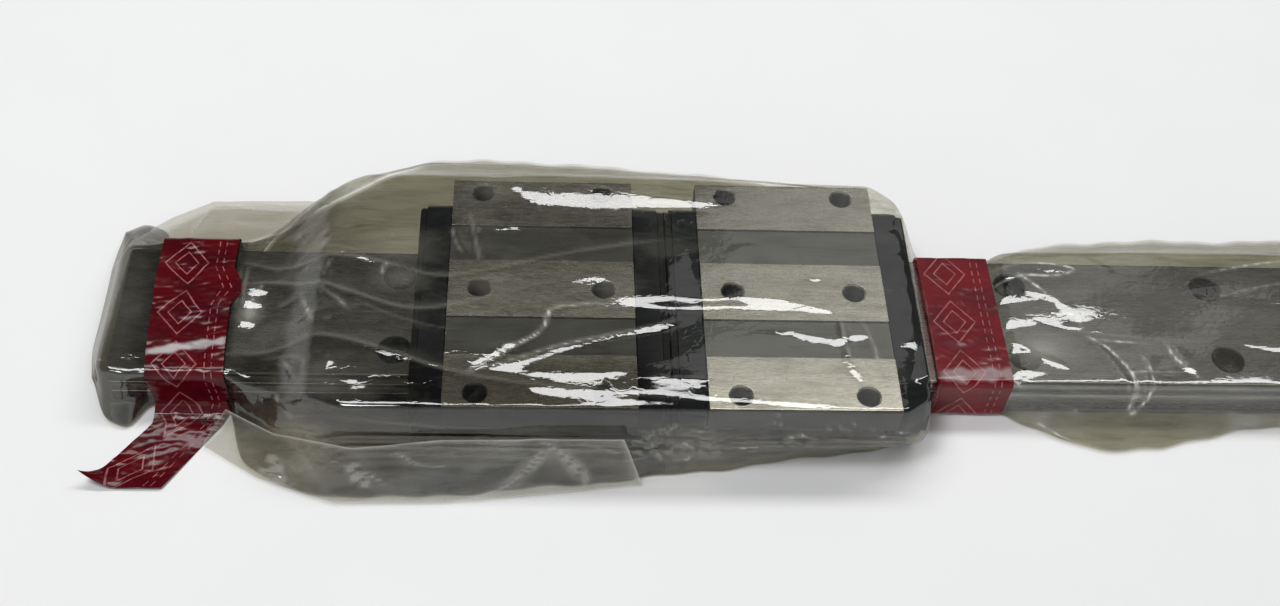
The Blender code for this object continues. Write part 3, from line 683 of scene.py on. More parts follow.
def end_plate_half(inset):
    """The end plate's outer +Y half, with rounded corners, drawn in by inset."""
    corners = [(25.6, 20.3, 1.2), (31.8, 13.9, 1.5), (32.0, 9.0, 1.5), (28.0, 5.0, 1.0), (28.0, 1.6, 0.5)]
    path = [(0, 20.3)] + [c[:2] for c in corners] + [(19.5, 1.6)]
    points = []
    for i, (y, z, radius) in enumerate(corners, start=1):
        here = Vector((y, z))
        back = (Vector(path[i - 1]) - here).normalized()
        ahead = (Vector(path[i + 1]) - here).normalized()
        for step in range(6):
            t = step / 5
            a, b = here + back * radius, here + ahead * radius
            points.append(((1 - t) ** 2) * a + 2 * t * (1 - t) * here + t * t * b)
    middle_z, side_y = 11, 24
    return in_metres(
        *((p.x - inset * (p.x > side_y), p.y - (inset if p.y > middle_z else -inset)) for p in points)
    )


def end_facts(node, where):
    """The node's box, the sign of the way out along X, and the X of its outer face."""
    low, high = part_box(node)
    outward = -1 if where == "left" else 1
    return low, high, outward, high.x if outward > 0 else low.x


def end_bores(face_x, outward, radius, depth, sides):
    """Cutters for the four screws and the grease port of an end part."""
    holes = [(y, z, radius, sides) for y, z in SCREW_PLACES.values()] + [(0, PORT_Z, PORT_RADIUS, 32)]
    start, inward = face_x + outward * MM, (-outward, 0, 0)
    return [turned_mesh("bore", bore(r, -1, depth), count, (start, y, z), inward) for y, z, r, count in holes]


def make_end_plate(label, where):
    node = f"{label}_end_plate_{where}"
    low, high, outward, outer_x = end_facts(node, where)
    channel = [(CHANNEL_HALF_WIDTH, low.z), (CHANNEL_HALF_WIDTH, CHANNEL_ROOF_Z - 0.5 * MM)]
    channel += [(CHANNEL_HALF_WIDTH - 0.5 * MM, CHANNEL_ROOF_Z)]
    outline = mirrored(end_plate_half(0) + channel)
    plate = new_object(f"{node}_moulded", prism_mesh(node, outline, low.x, high.x), RESIN)
    block_low, block_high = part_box(f"{label}_block")
    cutters = track_cutters((block_low.x + block_high.x) / 2)
    cutters += end_bores(outer_x, outward, PILOT_RADIUS, depth=9, sides=24)
    # Two shallow moulded pockets in the outer face
    for side in (-1, 1):
        pocket = bmesh.new()
        bmesh.ops.create_cube(pocket, size=1)
        bmesh.ops.scale(pocket, vec=(1.2 * MM, 7.5 * MM, 3.2 * MM), verts=pocket.verts)
        bmesh.ops.translate(pocket, vec=(outer_x, side * 16.75 * MM, 16.4 * MM), verts=pocket.verts)
        cutters.append(mesh_from(pocket, "pocket"))
    cut(plate, cutters)
    soften_edges(plate, 0.22 * MM, segments=2, angle=40)
    stand_for(plate, label, "black_resin", node)


def make_end_seal(label, where):
    """The scraper: a thin body with lips that follow the rail's tracks."""
    node = f"{label}_end_seal_{where}"
    low, high, outward, outer_x = end_facts(node, where)
    lip_y = RAIL_HALF_WIDTH + 0.35 * MM
    lips = [(lip_y, low.z)] + list(reversed(track_arcs(lip_y, TRACK_RADIUS - 0.3 * MM, 8)))
    lips += [(lip_y, RAIL_HEIGHT + 0.1 * MM), (RAIL_HALF_WIDTH - 0.3 * MM, RAIL_HEIGHT + 0.35 * MM)]
    outline = mirrored(end_plate_half(0.5) + lips)
    seal = new_object(f"{node}_moulded", prism_mesh(node, outline, low.x, high.x), RUBBER)
    cut(seal, end_bores(outer_x, outward, SCREW_HEAD_BORE_RADIUS, depth=4, sides=32))
    soften_edges(seal, 0.15 * MM, segments=2, angle=40)
    stand_for(seal, label, "seal_rubber", node)


def thread(start, end, turn):
    """Pairs of one thread turn, repeated from start to end: its last height is the pitch."""
    pairs = []
    while start < end:
        pairs += [(radius, start + rise) for radius, rise in turn]
        start += turn[-1][1]
    return pairs


def make_end_fastener(node, body, where, place, profile, socket_radius, socket_depth):
    """A black turned piece with a hexagon socket in its face, which lies at the profile's height 0."""
    _, _, outward, face_x = end_facts(node, where)
    obj = new_object(f"{node}_black", turned_mesh(f"{node}_black", profile, 32), OXIDE)
    socket = in_metres((0, -socket_depth - 0.3), (socket_radius, -socket_depth), (socket_radius, 1), (0, 1))
    cut(obj, [turned_mesh("socket", socket, 6)])
    turn = Vector((0, 0, 1)).rotation_difference(Vector((outward, 0, 0))).to_matrix().to_4x4()
    obj.data.transform(Matrix.Translation(Vector((face_x, *place))) @ turn)
    soften_edges(obj, 0.06 * MM, segments=1, angle=50)
    stand_for(obj, body, "screw_steel", node)


def make_end_screw(label, where, spot):
    node = f"{label}_screw_{where}_{spot}"
    low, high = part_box(node)
    length = high.x - low.x
    profile = [(0, -length), (0.7 * MM, -length), (1.0 * MM, -length + 0.3 * MM)]
    profile += thread(profile[-1][1], -6.0 * MM, in_metres((0.82, 0.15), (1.0, 0.35), (1.0, 0.4)))
    profile += in_metres((1.0, -1.1), (1.85, -1.1), (1.9, -1.0), (1.9, -0.2), (1.7, 0), (0, 0))
    place = SCREW_PLACES[spot]
    make_end_fastener(node, label, where, place, profile, socket_radius=1.0, socket_depth=0.7)


def make_grease_plug(label, where):
    profile = in_metres((0, -4), (2.2, -4), (2.5, -3.7))
    profile += thread(profile[-1][1], -0.8 * MM, in_metres((2.25, 0.2), (2.5, 0.42), (2.5, 0.5)))
    profile += in_metres((2.4, 0), (0, 0))
    node, place = f"{label}_grease_plug_{where}", (0, PORT_Z)
    make_end_fastener(node, label, where, place, profile, socket_radius=1.45, socket_depth=1.5)


def make_side_seal(label, where):
    node = f"{label}_side_seal_{where}"
    low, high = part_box(node)
    side = 1 if where == "rear" else -1
    inner, outer = sorted((abs(low.y), abs(high.y)))
    outline = [(inner, low.z), (inner, low.z + 0.35 * MM), (inner + 0.9 * MM, high.z), (outer, high.z)]
    outline += [(outer, low.z + 0.2 * MM), (outer - 0.2 * MM, low.z)]
    outline = [(side * y, z) for y, z in outline]
    seal = new_object(f"{node}_moulded", prism_mesh(node, outline, low.x, high.x), RUBBER)
    soften_edges(seal, 0.1 * MM, segments=1, angle=40)
    stand_for(seal, label, "seal_rubber", node)


def make_carriage(label):
    """One carriage, label being its body's name."""
    low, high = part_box(f"{label}_block")
    centre_x = (low.x + high.x) / 2
    make_block(label)
    for where, side in (("rear", 1), ("front", -1)):
        make_side_seal(label, where)
        for row, height in TRACK_HEIGHTS.items():
            make_ball_train(f"{label}_balls_{where}_{row}", side, height, centre_x, label)
    for where in ("left", "right"):
        make_end_plate(label, where)
        make_end_seal(label, where)
        make_grease_plug(label, where)
        for spot in SCREW_PLACES:
            make_end_screw(label, where, spot)


# Film

# Sections of the bag's upper web, in mm: X, then eight (Y, Z) points from the rear rim over the guide to
# the front rim
LEFT_NECK_ENDS = (-157.6, -138)
RIGHT_NECK_ENDS = (27.2, 45.6)
NECK_FRONT = ((6, 11.5), (-6, 11.5), (-19.05, 11.3), (-19.3, 5.5), (-19.3, 0))
LEFT_NECK = ((22.2, 0), (22.2, 5.5), (21.4, 11.3), *NECK_FRONT)
NECK = ((19.3, 0), (19.3, 5.5), (19.05, 11.3), *NECK_FRONT)
SECTIONS = (
    (-171.3, (33, 0), (27, 0.8), (18, 2.0), (8, 2.6), (0, 2.6), (-5, 2.0), (-8, 0.8), (-11, 0)),
    (-167, (36, 0), (29, 4), (20, 10.2), (7, 11.0), (-7, 11.8), (-18.5, 12.3), (-21.5, 4), (-23, 0)),
    (-160, (34, 0), (26, 4), (20, 11.2), (7, 11.6), (-7, 12.1), (-20, 12.4), (-22.5, 4.5), (-27, 0)),
    (LEFT_NECK_ENDS[0], *LEFT_NECK),
    (LEFT_NECK_ENDS[1], *LEFT_NECK),
    (-134.5, (32, 0), (27, 6), (22, 11.5), (7, 11.65), (-7, 11.6), (-20.5, 11.4), (-24, 4), (-35, 0)),
    (-130, (37, 0), (30.5, 7), (23.5, 11.8), (8, 11.9), (-8, 11.8), (-22, 11.6), (-27, 4.5), (-38, 0)),
    (-124, (43, 0), (36, 9), (28, 14.8), (9, 15.2), (-9, 14.8), (-27, 13.8), (-31.5, 5.5), (-42, 0)),
    (-117, (47, 0), (40, 9.5), (30.5, 20.4), (10, 21.3), (-10, 21.1), (-31, 20.2), (-34, 6), (-43.5, 0)),
    (-109.5, (53, 0), (44, 11), (34.9, 21.4), (10, 22.0), (-10, 21.8), (-34.8, 21.3), (-35.6, 6), (-44, 0)),
    (-96, (60.5, 0), (48, 10.5), (35, 21.6), (10, 21.9), (-10, 21.7), (-34.8, 21.4), (-35.6, 6), (-44.2, 0)),
    (-72, (61, 0), (47, 11), (34.8, 21.6), (10, 21.8), (-10, 21.7), (-34.7, 21.3), (-35.5, 6), (-42, 0)),
    (-39, (58.5, 0), (46, 11), (34.8, 21.6), (10, 21.7), (-10, 21.6), (-34.7, 21.3), (-35.4, 6), (-38.2, 0)),
    (-8, (55.3, 0), (44, 11.5), (34.7, 21.5), (10, 21.6), (-10, 21.5), (-34.7, 21.3), (-35.2, 7), (-33.5, 0)),
    (16, (51.5, 0), (41, 12), (34.6, 21.4), (10, 21.5), (-10, 21.4), (-34.6, 21.3), (-35, 9), (-29.5, 0)),
    (23.4, (44, 0), (36, 11), (29, 20.0), (9, 20.9), (-9, 20.9), (-29, 19.6), (-32.8, 8), (-28.5, 0)),
    (RIGHT_NECK_ENDS[0], *NECK),
    (RIGHT_NECK_ENDS[1], *NECK),
    (48.5, (27, 0), (23, 5), (20.5, 11.9), (7, 12.2), (-7, 12.1), (-19.8, 11.9), (-20.6, 5), (-22, 0)),
    (54.8, (31, 0), (25, 6), (21, 12.3), (7, 12.7), (-7, 12.5), (-20, 12.2), (-21.5, 5), (-25.5, 0)),
    (68, (34, 0), (26, 7), (21, 12.8), (7, 12.9), (-7, 12.5), (-20, 12.3), (-22, 5), (-30, 0)),
    (82, (36, 0), (27, 7), (21.5, 12.6), (7, 12.6), (-7, 12.3), (-20, 12.1), (-22, 5), (-30, 0)),
    (93, (36.3, 0), (27, 7), (21.5, 12.4), (7, 12.4), (-7, 12.2), (-20, 12.0), (-21.5, 5), (-26.5, 0)),
    (104, (36.5, 0), (27, 7), (21.5, 12.4), (7, 12.4), (-7, 12.2), (-20, 12.0), (-21, 5), (-23.5, 0)),
    (130, (37, 0), (27, 7), (21.5, 12.4), (7, 12.4), (-7, 12.2), (-20, 12.0), (-21, 5), (-22.8, 0)),
    (166.5, (36.5, 0), (27, 6), (21, 12.2), (7, 12.6), (-7, 12.4), (-20, 11.6), (-21, 5), (-22.8, 0)),
    (172, (36, 0), (27, 3), (20, 8), (7, 8.5), (-7, 8.3), (-18, 7.5), (-20, 3), (-22.8, 0)),
    (176.8, (36, 0), (27, 0.8), (20, 2), (7, 2.4), (-7, 2.4), (-17, 1.8), (-20, 0.8), (-23, 0)),
)
LEFT_BAND_X = -147.8
RIGHT_BAND_X = 36.4
FILM_COLUMNS = 440
FILM_ROWS = 190
RIM_FADE_ROWS = 14
LOWER_FILM_ROWS = 60
FLAP_COLUMNS = 90
FLAP_ROWS = 40
FLOOR_Z = -1.2
RIM_Z = -0.45


def smoothed(values, width):
    """values blurred along the first axis by a bell curve of this width, with its ends held."""
    reach = max(1, int(3 * width))
    bell = np.exp(-0.5 * (np.arange(-reach, reach + 1) / width) ** 2)
    bell /= bell.sum()
    padded = np.concatenate([np.repeat(values[:1], reach, 0), values, np.repeat(values[-1:], reach, 0)])
    return np.stack([np.convolve(padded[:, k], bell, "valid") for k in range(values.shape[1])], axis=1)


def distances(path):
    """The distance along the path at each of its points."""
    return np.concatenate([[0], np.cumsum(np.linalg.norm(np.diff(path, axis=0), axis=1))])


def resampled(path, count):
    """The path at even steps, with the distance at each."""
    at = distances(path)
    wanted = np.linspace(0, at[-1], count)
    return np.stack([np.interp(wanted, at, path[:, k]) for k in range(path.shape[1])], axis=1), wanted


def film_base():
    """The smooth bag: points (columns, rows, 3) in mm, and each one's distance across from the crown."""
    stations = np.array([s[0] for s in SECTIONS], float)
    table = np.array([[c for point in s[1:] for c in point] for s in SECTIONS], float)
    xs = np.linspace(stations[0], stations[-1], FILM_COLUMNS)
    controls = np.stack([np.interp(xs, stations, table[:, k]) for k in range(table.shape[1])], axis=1)
    controls = smoothed(controls, 1.6).reshape(len(xs), -1, 2)
    points = np.zeros((len(xs), FILM_ROWS, 3))
    across = np.zeros((len(xs), FILM_ROWS))
    fine_steps, corner_mm = 600, 0.9
    for i, x in enumerate(xs):
        line, at = resampled(controls[i], fine_steps)
        line = smoothed(line, fine_steps * corner_mm / at[-1])
        points[i, :, 0] = x
        points[i, :, 1:], wanted = resampled(line, FILM_ROWS)
        across[i] = wanted - np.interp(0.0, -line[:, 0], distances(line))
    return points, across


def grid_normals(points):
    along = np.gradient(points, axis=0)
    across = np.gradient(points, axis=1)
    normals = np.cross(across, along)
    normals /= np.maximum(np.linalg.norm(normals, axis=2, keepdims=True), 1e-9)
    return normals * np.sign(normals[..., 2:3].mean())


def crease_height(x, t, creases):
    """Sharp-crested folds: each is (x0, t0, x1, t1, height, width), all in mm."""
    height = np.zeros_like(x)
    for x0, t0, x1, t1, rise, width in creases:
        length = math.hypot(x1 - x0, t1 - t0)
        ux, ut = (x1 - x0) / length, (t1 - t0) / length
        along = (x - x0) * ux + (t - t0) * ut
        bend = 0.10 * length * np.sin(along / length * math.pi) * math.sin(7 * x0 + 3 * t0)
        off = (t - t0) * ux - (x - x0) * ut - bend
        share = along / length
        fade = np.clip(share / 0.3, 0, 1) * np.clip((1 - share) / 0.3, 0, 1)
        fade = fade * fade * (3 - 2 * fade)
        height += rise * fade * np.exp(-np.abs(off) / width)
    return height


def random_creases(rng, count, x_range, t_range, angle, spread, length, rise, width):
    """Folds scattered over a patch, about one direction."""
    made = []
    for _ in range(count):
        x, t = rng.uniform(*x_range), rng.uniform(*t_range)
        turn = math.radians(rng.normal(angle, spread))
        reach = rng.uniform(*length) / 2
        dx, dt = reach * math.cos(turn), reach * math.sin(turn)
        height = rng.uniform(*rise) * rng.choice((-0.6, 1))
        made.append((x - dx, t - dt, x + dx, t + dt, height, rng.uniform(*width)))
    return made


def waves(rng, x, t, count, lengths, height):
    """A sum of sine waves in all directions."""
    total = np.zeros_like(x)
    for _ in range(count):
        size, turn, phase = rng.uniform(*lengths), rng.uniform(0, math.pi), rng.uniform(0, 2 * math.pi)
        total += np.sin(2 * math.pi * (x * math.cos(turn) * 0.45 + t * math.sin(turn)) / size + phase)
    return total * height / math.sqrt(count)


# Flat-flanked folds that catch the strip light, each a path of (X, distance to the front of the crown,
# width of the lit flank), all in mm
LIT_FOLDS = (
    (
        (-76, -31.5, 0), (-70, -32.4, 6.6), (-52, -31.4, 7.2), (-40, -29.4, 5.0), (-24, -27.6, 2.4),
        (-9, -27.0, 0),
    ),
    ((-84, -18.0, 0), (-77, -18.4, 1.4), (-71, -18.2, 1.2), (-66, -17.6, 0)),
    ((-52, 3.0, 0), (-46, 3.0, 1.6), (-36, 2.6, 3.6), (-29, 3.4, 2.2), (-24, 4.2, 1.2)),
    ((-30, 4.4, 0), (-20, 2.2, 3.4), (-10, 2.6, 4.2), (-2, 4.6, 3.2), (8, 7.6, 0)),
    ((-84, 24.6, 0.4), (-79, 21.0, 0.7), (-66, 12.4, 0.8), (-59, 6.0, 0.7), (-52, 4.7, 0.8), (-30, 5.4, 0.6)),
    ((-80, 24.6, 0), (-71, 22.0, 1.4), (-62, 17.8, 1.8), (-48, 13.0, 2.0), (-38, 10.2, 2.6), (-28, 7.4, 0)),
    ((-30, 9.6, 0), (-22, 9.4, 1.0), (-8, 9.2, 0.9), (6, 8.6, 0)),
    (
        (-74, 28.6, 0), (-66, 29.0, 1.2), (-50, 30.6, 1.0), (-42, 30.4, 1.8), (-30, 31.6, 1.6),
        (-8, 32.2, 1.4), (6, 33, 0),
    ),
    ((-28, 15.0, 0), (-16, 12.0, 1.4), (-8, 12.4, 2.2), (2, 14.4, 2.0), (14, 12.0, 0)),
    ((-6, -3.0, 0), (-1, -4.2, 2.8), (3, -3.0, 0)),
    ((44, -18.0, 0), (50, -17.6, 1.6), (60, -16.0, 2.6), (70, -13.4, 0)),
    ((45, -14.0, 0), (52, -9.0, 1.0), (60, -5.6, 1.2), (66, 2.2, 0)),
    ((46, -10.5, 0), (50, -12.8, 1.2), (58, -11.4, 0)),
    ((66, 15.6, 0), (74, 15.2, 0.8), (84, 14.8, 0.8), (92, 15.6, 0)),
    ((100, -8.0, 0), (116, -6.0, 1.0), (134, -7.0, 0)),
    ((96, 6.0, 0), (112, 8.4, 0.9), (140, 7.0, 0)),
    ((-139, -7.6, 3.4), (-136, -7.0, 3.8), (-133, -5.6, 2.6), (-130, -4.6, 0.6)),
    ((-139, -2.6, 2.8), (-135.4, -2.2, 3.6), (-132.4, -1.0, 1.4), (-130, 0.4, 0)),
    ((-138, 3.4, 1.6), (-135, 4.0, 1.8), (-132.5, 5.4, 0)),
    ((-137, -14.4, 0), (-124, -10.4, 0.8), (-112, -8.4, 0.9), (-99, -5.4, 0.7), (-92, -2.8, 0)),
    ((-140, 13.2, 0), (-124, 13.4, 0.7), (-112, 14.6, 0.6), (-98, 20.6, 0.8), (-84, 25.0, 0)),
    ((-126, -3.4, 0), (-121, 0.6, 1.0), (-118, 5.0, 0)),
)
# Small sharp creases, as (x0, t0, x1, t1, height, width) in mm
SHARP_CREASES = (
    (66, 5, 74.6, 27, 0.5, 0.7),
    (74.6, 27, 80.5, 9.4, 0.5, 0.7),
    (86.2, 6.3, 90.5, 16.7, 0.5, 0.6),
    (46, 4, 62, 16, 0.4, 0.9),
    (-84, -26, -80, -4, 0.5, 1.2),
    (-88, -20, -84, -8, 0.4, 0.8),
    (-102, -17, -99, -11, 0.35, 0.5),
    (4, 4, 9, 30, 0.5, 0.8),
    (54, 24, 64, 29, 0.4, 0.8),
)
FACET_TILT = math.tan(math.radians(8.4))
FOLD_REACH = 7.0


# Edges of doubled film, pale lines of (X, distance to the front of the crown, strength)
FOLD_EDGES = (
    (
        (-137, -14, 0.5), (-124, -10, 1), (-111, -8.5, 1), (-100, -5.7, 1), (-92, -2.8, 1),
        (-84, -3.4, 0.8), (-66, -9, 0.7), (-44, -14, 0.6), (-20, -17, 0),
    ),
    (
        (-139, 13, 0.4), (-118, 13.2, 0.8), (-100, 19, 0.8), (-86, 24.5, 0.9), (-66, 28, 0.6),
        (-40, 31, 0.4), (-20, 33, 0),
    ),
    ((-137, -16, 0), (-124, -24, 0.7), (-110, -36, 0.4), (-98, -44, 0)),
    ((-136, -20, 0), (-122, -33, 0.6), (-112, -46, 0)),
    (
        (-135, -6.9, 0.6), (-129.4, -8, 1), (-118.6, -1.6, 1), (-106.5, 3.6, 1), (-96.9, 7.2, 0.9),
        (-86.3, 6, 0.8), (-73.5, 1.2, 0.6), (-60, -3, 0.3), (-50, -4, 0),
    ),
    ((-131, 15, 0), (-123, 16, 0.8), (-118, 21, 0.8), (-121, 28, 0.6), (-130, 31, 0)),
    ((-112, 17, 0), (-116, 26, 0.6), (-124, 34, 0)),
    ((-118, 36, 0), (-96, 40, 0.6), (-70, 42, 0.6), (-50, 41, 0)),
    ((-94, -50, 0), (-70, -55, 0.8), (-30, -54, 0.8), (10, -50, 0)),
    ((-96, -60, 0), (-60, -61, 0.7), (-10, -58, 0.7), (18, -50, 0)),
    ((48, 16, 0), (60, 22, 0.7), (76, 24, 0.5), (90, 20, 0)),
    ((50, -22, 0), (70, -26, 0.6), (110, -28, 0.6), (160, -27, 0)),
    ((58.5, 3, 0), (64.9, 3.7, 0.9), (79.5, 5.6, 0.8), (113.3, 7.7, 0.7), (150, 9, 0.4), (170, 9, 0)),
    ((92.8, 17, 0), (111.9, 12.4, 0.7), (135, 8, 0)),
)


# Crease lines drawn near-white, partly stress-whitened film and partly painted glints: (X, distance to the
# front of the crown, strength)
WHITE_CREASES_AND_GLINTS = (
    (
        (64, 4.4, 0), (66, 5.1, 1), (70, 8, 1.5), (73.4, 13.7, 1.7), (75.2, 18.7, 1.7), (74.4, 29, 1.5),
        (77.8, 25.5, 1.7), (79.7, 17.2, 1.7), (79, 12.9, 1.5), (77.7, 9.3, 0.5),
    ),
    ((84.4, 5.5, 0), (85.2, 7, 1.2), (85.9, 11.4, 1.6), (90.4, 17.1, 1.4), (91.5, 18.2, 0)),
    ((66, 5.8, 0.3), (72, 6.6, 1.5), (81.5, 7.4, 0.5)),
    ((68, 16.3, 0), (76, 16, 1.0), (84.8, 15.7, 1.0), (89, 16, 0)),
    ((44.4, 16.3, 0.8), (47.5, 20.1, 1.4), (48.5, 21, 0)),
    ((50, 29, 0), (54.5, 32, 1.2), (64.3, 36, 1.6), (67, 37, 0)),
    ((53, 0.1, 0.3), (65.8, -2.0, 1.5), (64.6, 3.7, 1.0)),
    (
        (45.4, -14.6, 0.5), (55.2, -17.6, 1.0), (69, -15.5, 1.6), (61.6, -12.6, 1.4), (52.6, -13.6, 1.6),
        (45.1, -9.6, 0.5),
    ),
    ((52.6, -13.6, 1.4), (56.1, -9.4, 1.7), (58.6, -6.8, 1.3), (55.4, -5.9, 0.5)),
    ((95, -13.6, 0), (107, -17, 1.5), (119.5, -19.4, 1.0), (135, -20, 0)),
    ((88, -1.6, 0), (101.2, -7.6, 0.7), (119.3, -12.6, 0.8), (140, -15, 0)),
    (
        (-82.2, 24.4, 1.0), (-72.9, 18, 1.4), (-65.1, 12.9, 1.4), (-64.5, 7.1, 1.6), (-61.7, 5.5, 1.4),
        (-50, 4.6, 0.5),
    ),
    ((-82.2, 24.4, 0.8), (-72.8, 21.5, 1.2), (-61.6, 17.1, 1.3), (-44.4, 12.5, 1.0), (-33.9, 9.5, 0.3)),
    ((-102.1, -7.2, 0.5), (-102.7, -5, 1.7), (-103.5, -2.5, 0.6)),
    ((-121.8, 0.6, 0.5), (-120, 5, 1.7), (-118.2, 9.8, 0.6)),
    ((-116.1, 1.4, 0.3), (-112, 5, 1.1), (-109.7, 8, 0.3)),
    ((-137, 2.4, 0.6), (-134.2, -1.2, 1.2), (-132.6, -6.2, 0.8)),
    ((8, 6, 0.2), (10.5, 14, 1.0), (11.5, 22, 1.1), (12.5, 27, 0.3)),
    ((-36, 49, 0.9), (-33.5, 45.6, 1.2), (-30, 48.6, 1.2), (-32.5, 52.4, 1.0), (-35.4, 50.2, 0.4)),
    ((-34, 46.6, 0.2), (-26, 48, 0.9), (-14, 47.4, 1.1), (-8, 47.8, 0.2)),
    ((-38, 44, 0.2), (-30, 41.5, 1.1), (-24, 42.6, 0.3)),
    ((-10, 43, 0.2), (2, 44.6, 0.8), (14, 45.6, 0.8), (20, 44, 0.2)),
    ((17.6, 39.6, 0.3), (19, 42.5, 1.1), (18.2, 46, 0.3)),
)


# Cloudy patches: X, distance to the front of the crown, their two half sizes, and strength. The one at X
# -134.4 is a near-white patch on the crumple beside the left band, partly frosted film and partly a painted
# glint. The last six are small bubbles beside the right carriage, painted near-white for their glints.
CLOUDS_AND_GLINTS = (
    (-99, -11, 9, 5.5, 0.35), (-122, -24, 16, 9, 0.2), (-164, 2, 6, 22, 0.25), (-118, 27, 12, 7, 0.25),
    (-128, 8, 10, 4, 0.18), (54, 9.6, 9, 6, 0.75), (105, 0, 60, 22, 0.26), (-66, -26, 14, 5, 0.08),
    (-80, -20, 4, 9, 0.14), (-30, 47, 9, 9, 0.25), (-134.4, 1.2, 2.6, 4.6, 0.85),
    (-77.5, 0, 5, 4, 0.3), (-48.5, 0.5, 5, 4, 0.28), (-77.5, -30, 6, 4, 0.28), (-98.8, -2.2, 6, 4, 0.5),
    (-36.2, -14, 8, 9, 0.1),
    (-9, 43.5, 0.9, 0.7, 1.2), (-6.4, 42.6, 0.8, 0.6, 1.1), (-3.5, 44.2, 0.8, 0.5, 1.0),
    (12, 42.8, 0.9, 0.6, 1.2),
    (13.8, 45, 0.8, 0.6, 1.0), (16, 41, 0.8, 0.6, 1.2),
)


def path_distance(x, t, path):
    """The signed distance to a path, positive to its front, and the path's third value at that place."""
    nearest = np.full(x.shape, 1e9)
    signed = np.zeros(x.shape)
    carried = np.zeros(x.shape)
    for (x0, t0, w0), (x1, t1, w1) in zip(path, path[1:]):
        length = math.hypot(x1 - x0, t1 - t0)
        ux, ut = (x1 - x0) / length, (t1 - t0) / length
        share = np.clip(((x - x0) * ux + (t - t0) * ut) / length, 0, 1)
        gap = np.hypot(x - x0 - share * (x1 - x0), t - t0 - share * (t1 - t0))
        side = np.where((t - t0) * ux - (x - x0) * ut > 0, 1.0, -1.0)
        nearer = gap < nearest
        nearest = np.where(nearer, gap, nearest)
        signed = np.where(nearer, gap * side, signed)
        carried = np.where(nearer, w0 + (w1 - w0) * share, carried)
    return signed, carried


def rounded(path):
    """The path with its corners cut off twice, ends kept."""
    for _ in range(2):
        path = np.array(path, float)
        cut_points = [path[0]]
        for a, b in zip(path, path[1:]):
            cut_points += [0.75 * a + 0.25 * b, 0.25 * a + 0.75 * b]
        path = cut_points + [path[-1]]
    return path


def lit_fold_height(x, t, path):
    """A ridge whose flank to the front of the path is one flat facet."""
    signed, width = path_distance(x, t, path)
    flank = np.clip(1 - signed / np.maximum(width, 0.01), 0, 1)
    return FACET_TILT * width * np.where(signed > 0, flank, np.exp(np.minimum(signed, 0) / FOLD_REACH))


def whiteness_and_glints(x, t, relief):
    """How white the film is: along sharp bends, edges of doubled film and whitened creases, in clouds, and at
    painted glints.
    """
    bend = 4 * relief
    for axis in (0, 1):
        bend = bend - np.roll(relief, 1, axis) - np.roll(relief, -1, axis)
    share = np.clip(np.abs(bend) / 0.22 - 0.2, 0, 0.6)
    for path in FOLD_EDGES:
        gap, strength = path_distance(x, t, rounded(path))
        share = np.maximum(share, 0.55 * strength * np.exp(-((gap / 0.55) ** 2)))
        share = np.maximum(share, 0.22 * strength * np.exp(-np.abs(np.minimum(gap, 0)) / 2.2) * (gap < 0))
    uneven = 0.75 + 0.35 * np.sin(1.3 * x + 0.9 * t) * np.sin(0.7 * x - 1.1 * t + 2)
    # Near-white crease lines: stress-whitened film and painted glints
    for path in WHITE_CREASES_AND_GLINTS:
        gap, strength = path_distance(x, t, rounded(path))
        share = np.maximum(share, uneven * strength * np.exp(-((gap / 0.5) ** 2)))
    for x0, t0, reach_x, reach_t, strength in CLOUDS_AND_GLINTS:
        share = np.maximum(share, strength * np.exp(-(((x - x0) / reach_x) ** 2) - ((t - t0) / reach_t) ** 2))
    return share


# Patches of random creases: how many, X range, range of distance to the front, direction and its spread in
# degrees, then the ranges of length, height and width. The last two are the crumpled gather in front of
# the carriages' joint and the wrinkled side wall beside it.
CREASED_PATCHES = (
    (26, (-130, 172), (-34, 34), 0, 14, (14, 60), (0.10, 0.35), (0.8, 2.2)),
    (30, (-130, 172), (-60, 55), 20, 50, (5, 16), (0.08, 0.28), (0.4, 1.0)),
    (36, (-126, -112), (-40, 40), 10, 60, (6, 22), (0.15, 0.45), (0.5, 1.4)),
    (46, (-42, -24), (40, 58), 80, 50, (4, 12), (0.3, 0.8), (0.4, 0.9)),
    (40, (-24, 22), (37, 54), 80, 50, (3, 10), (0.12, 0.4), (0.3, 0.7)),
)


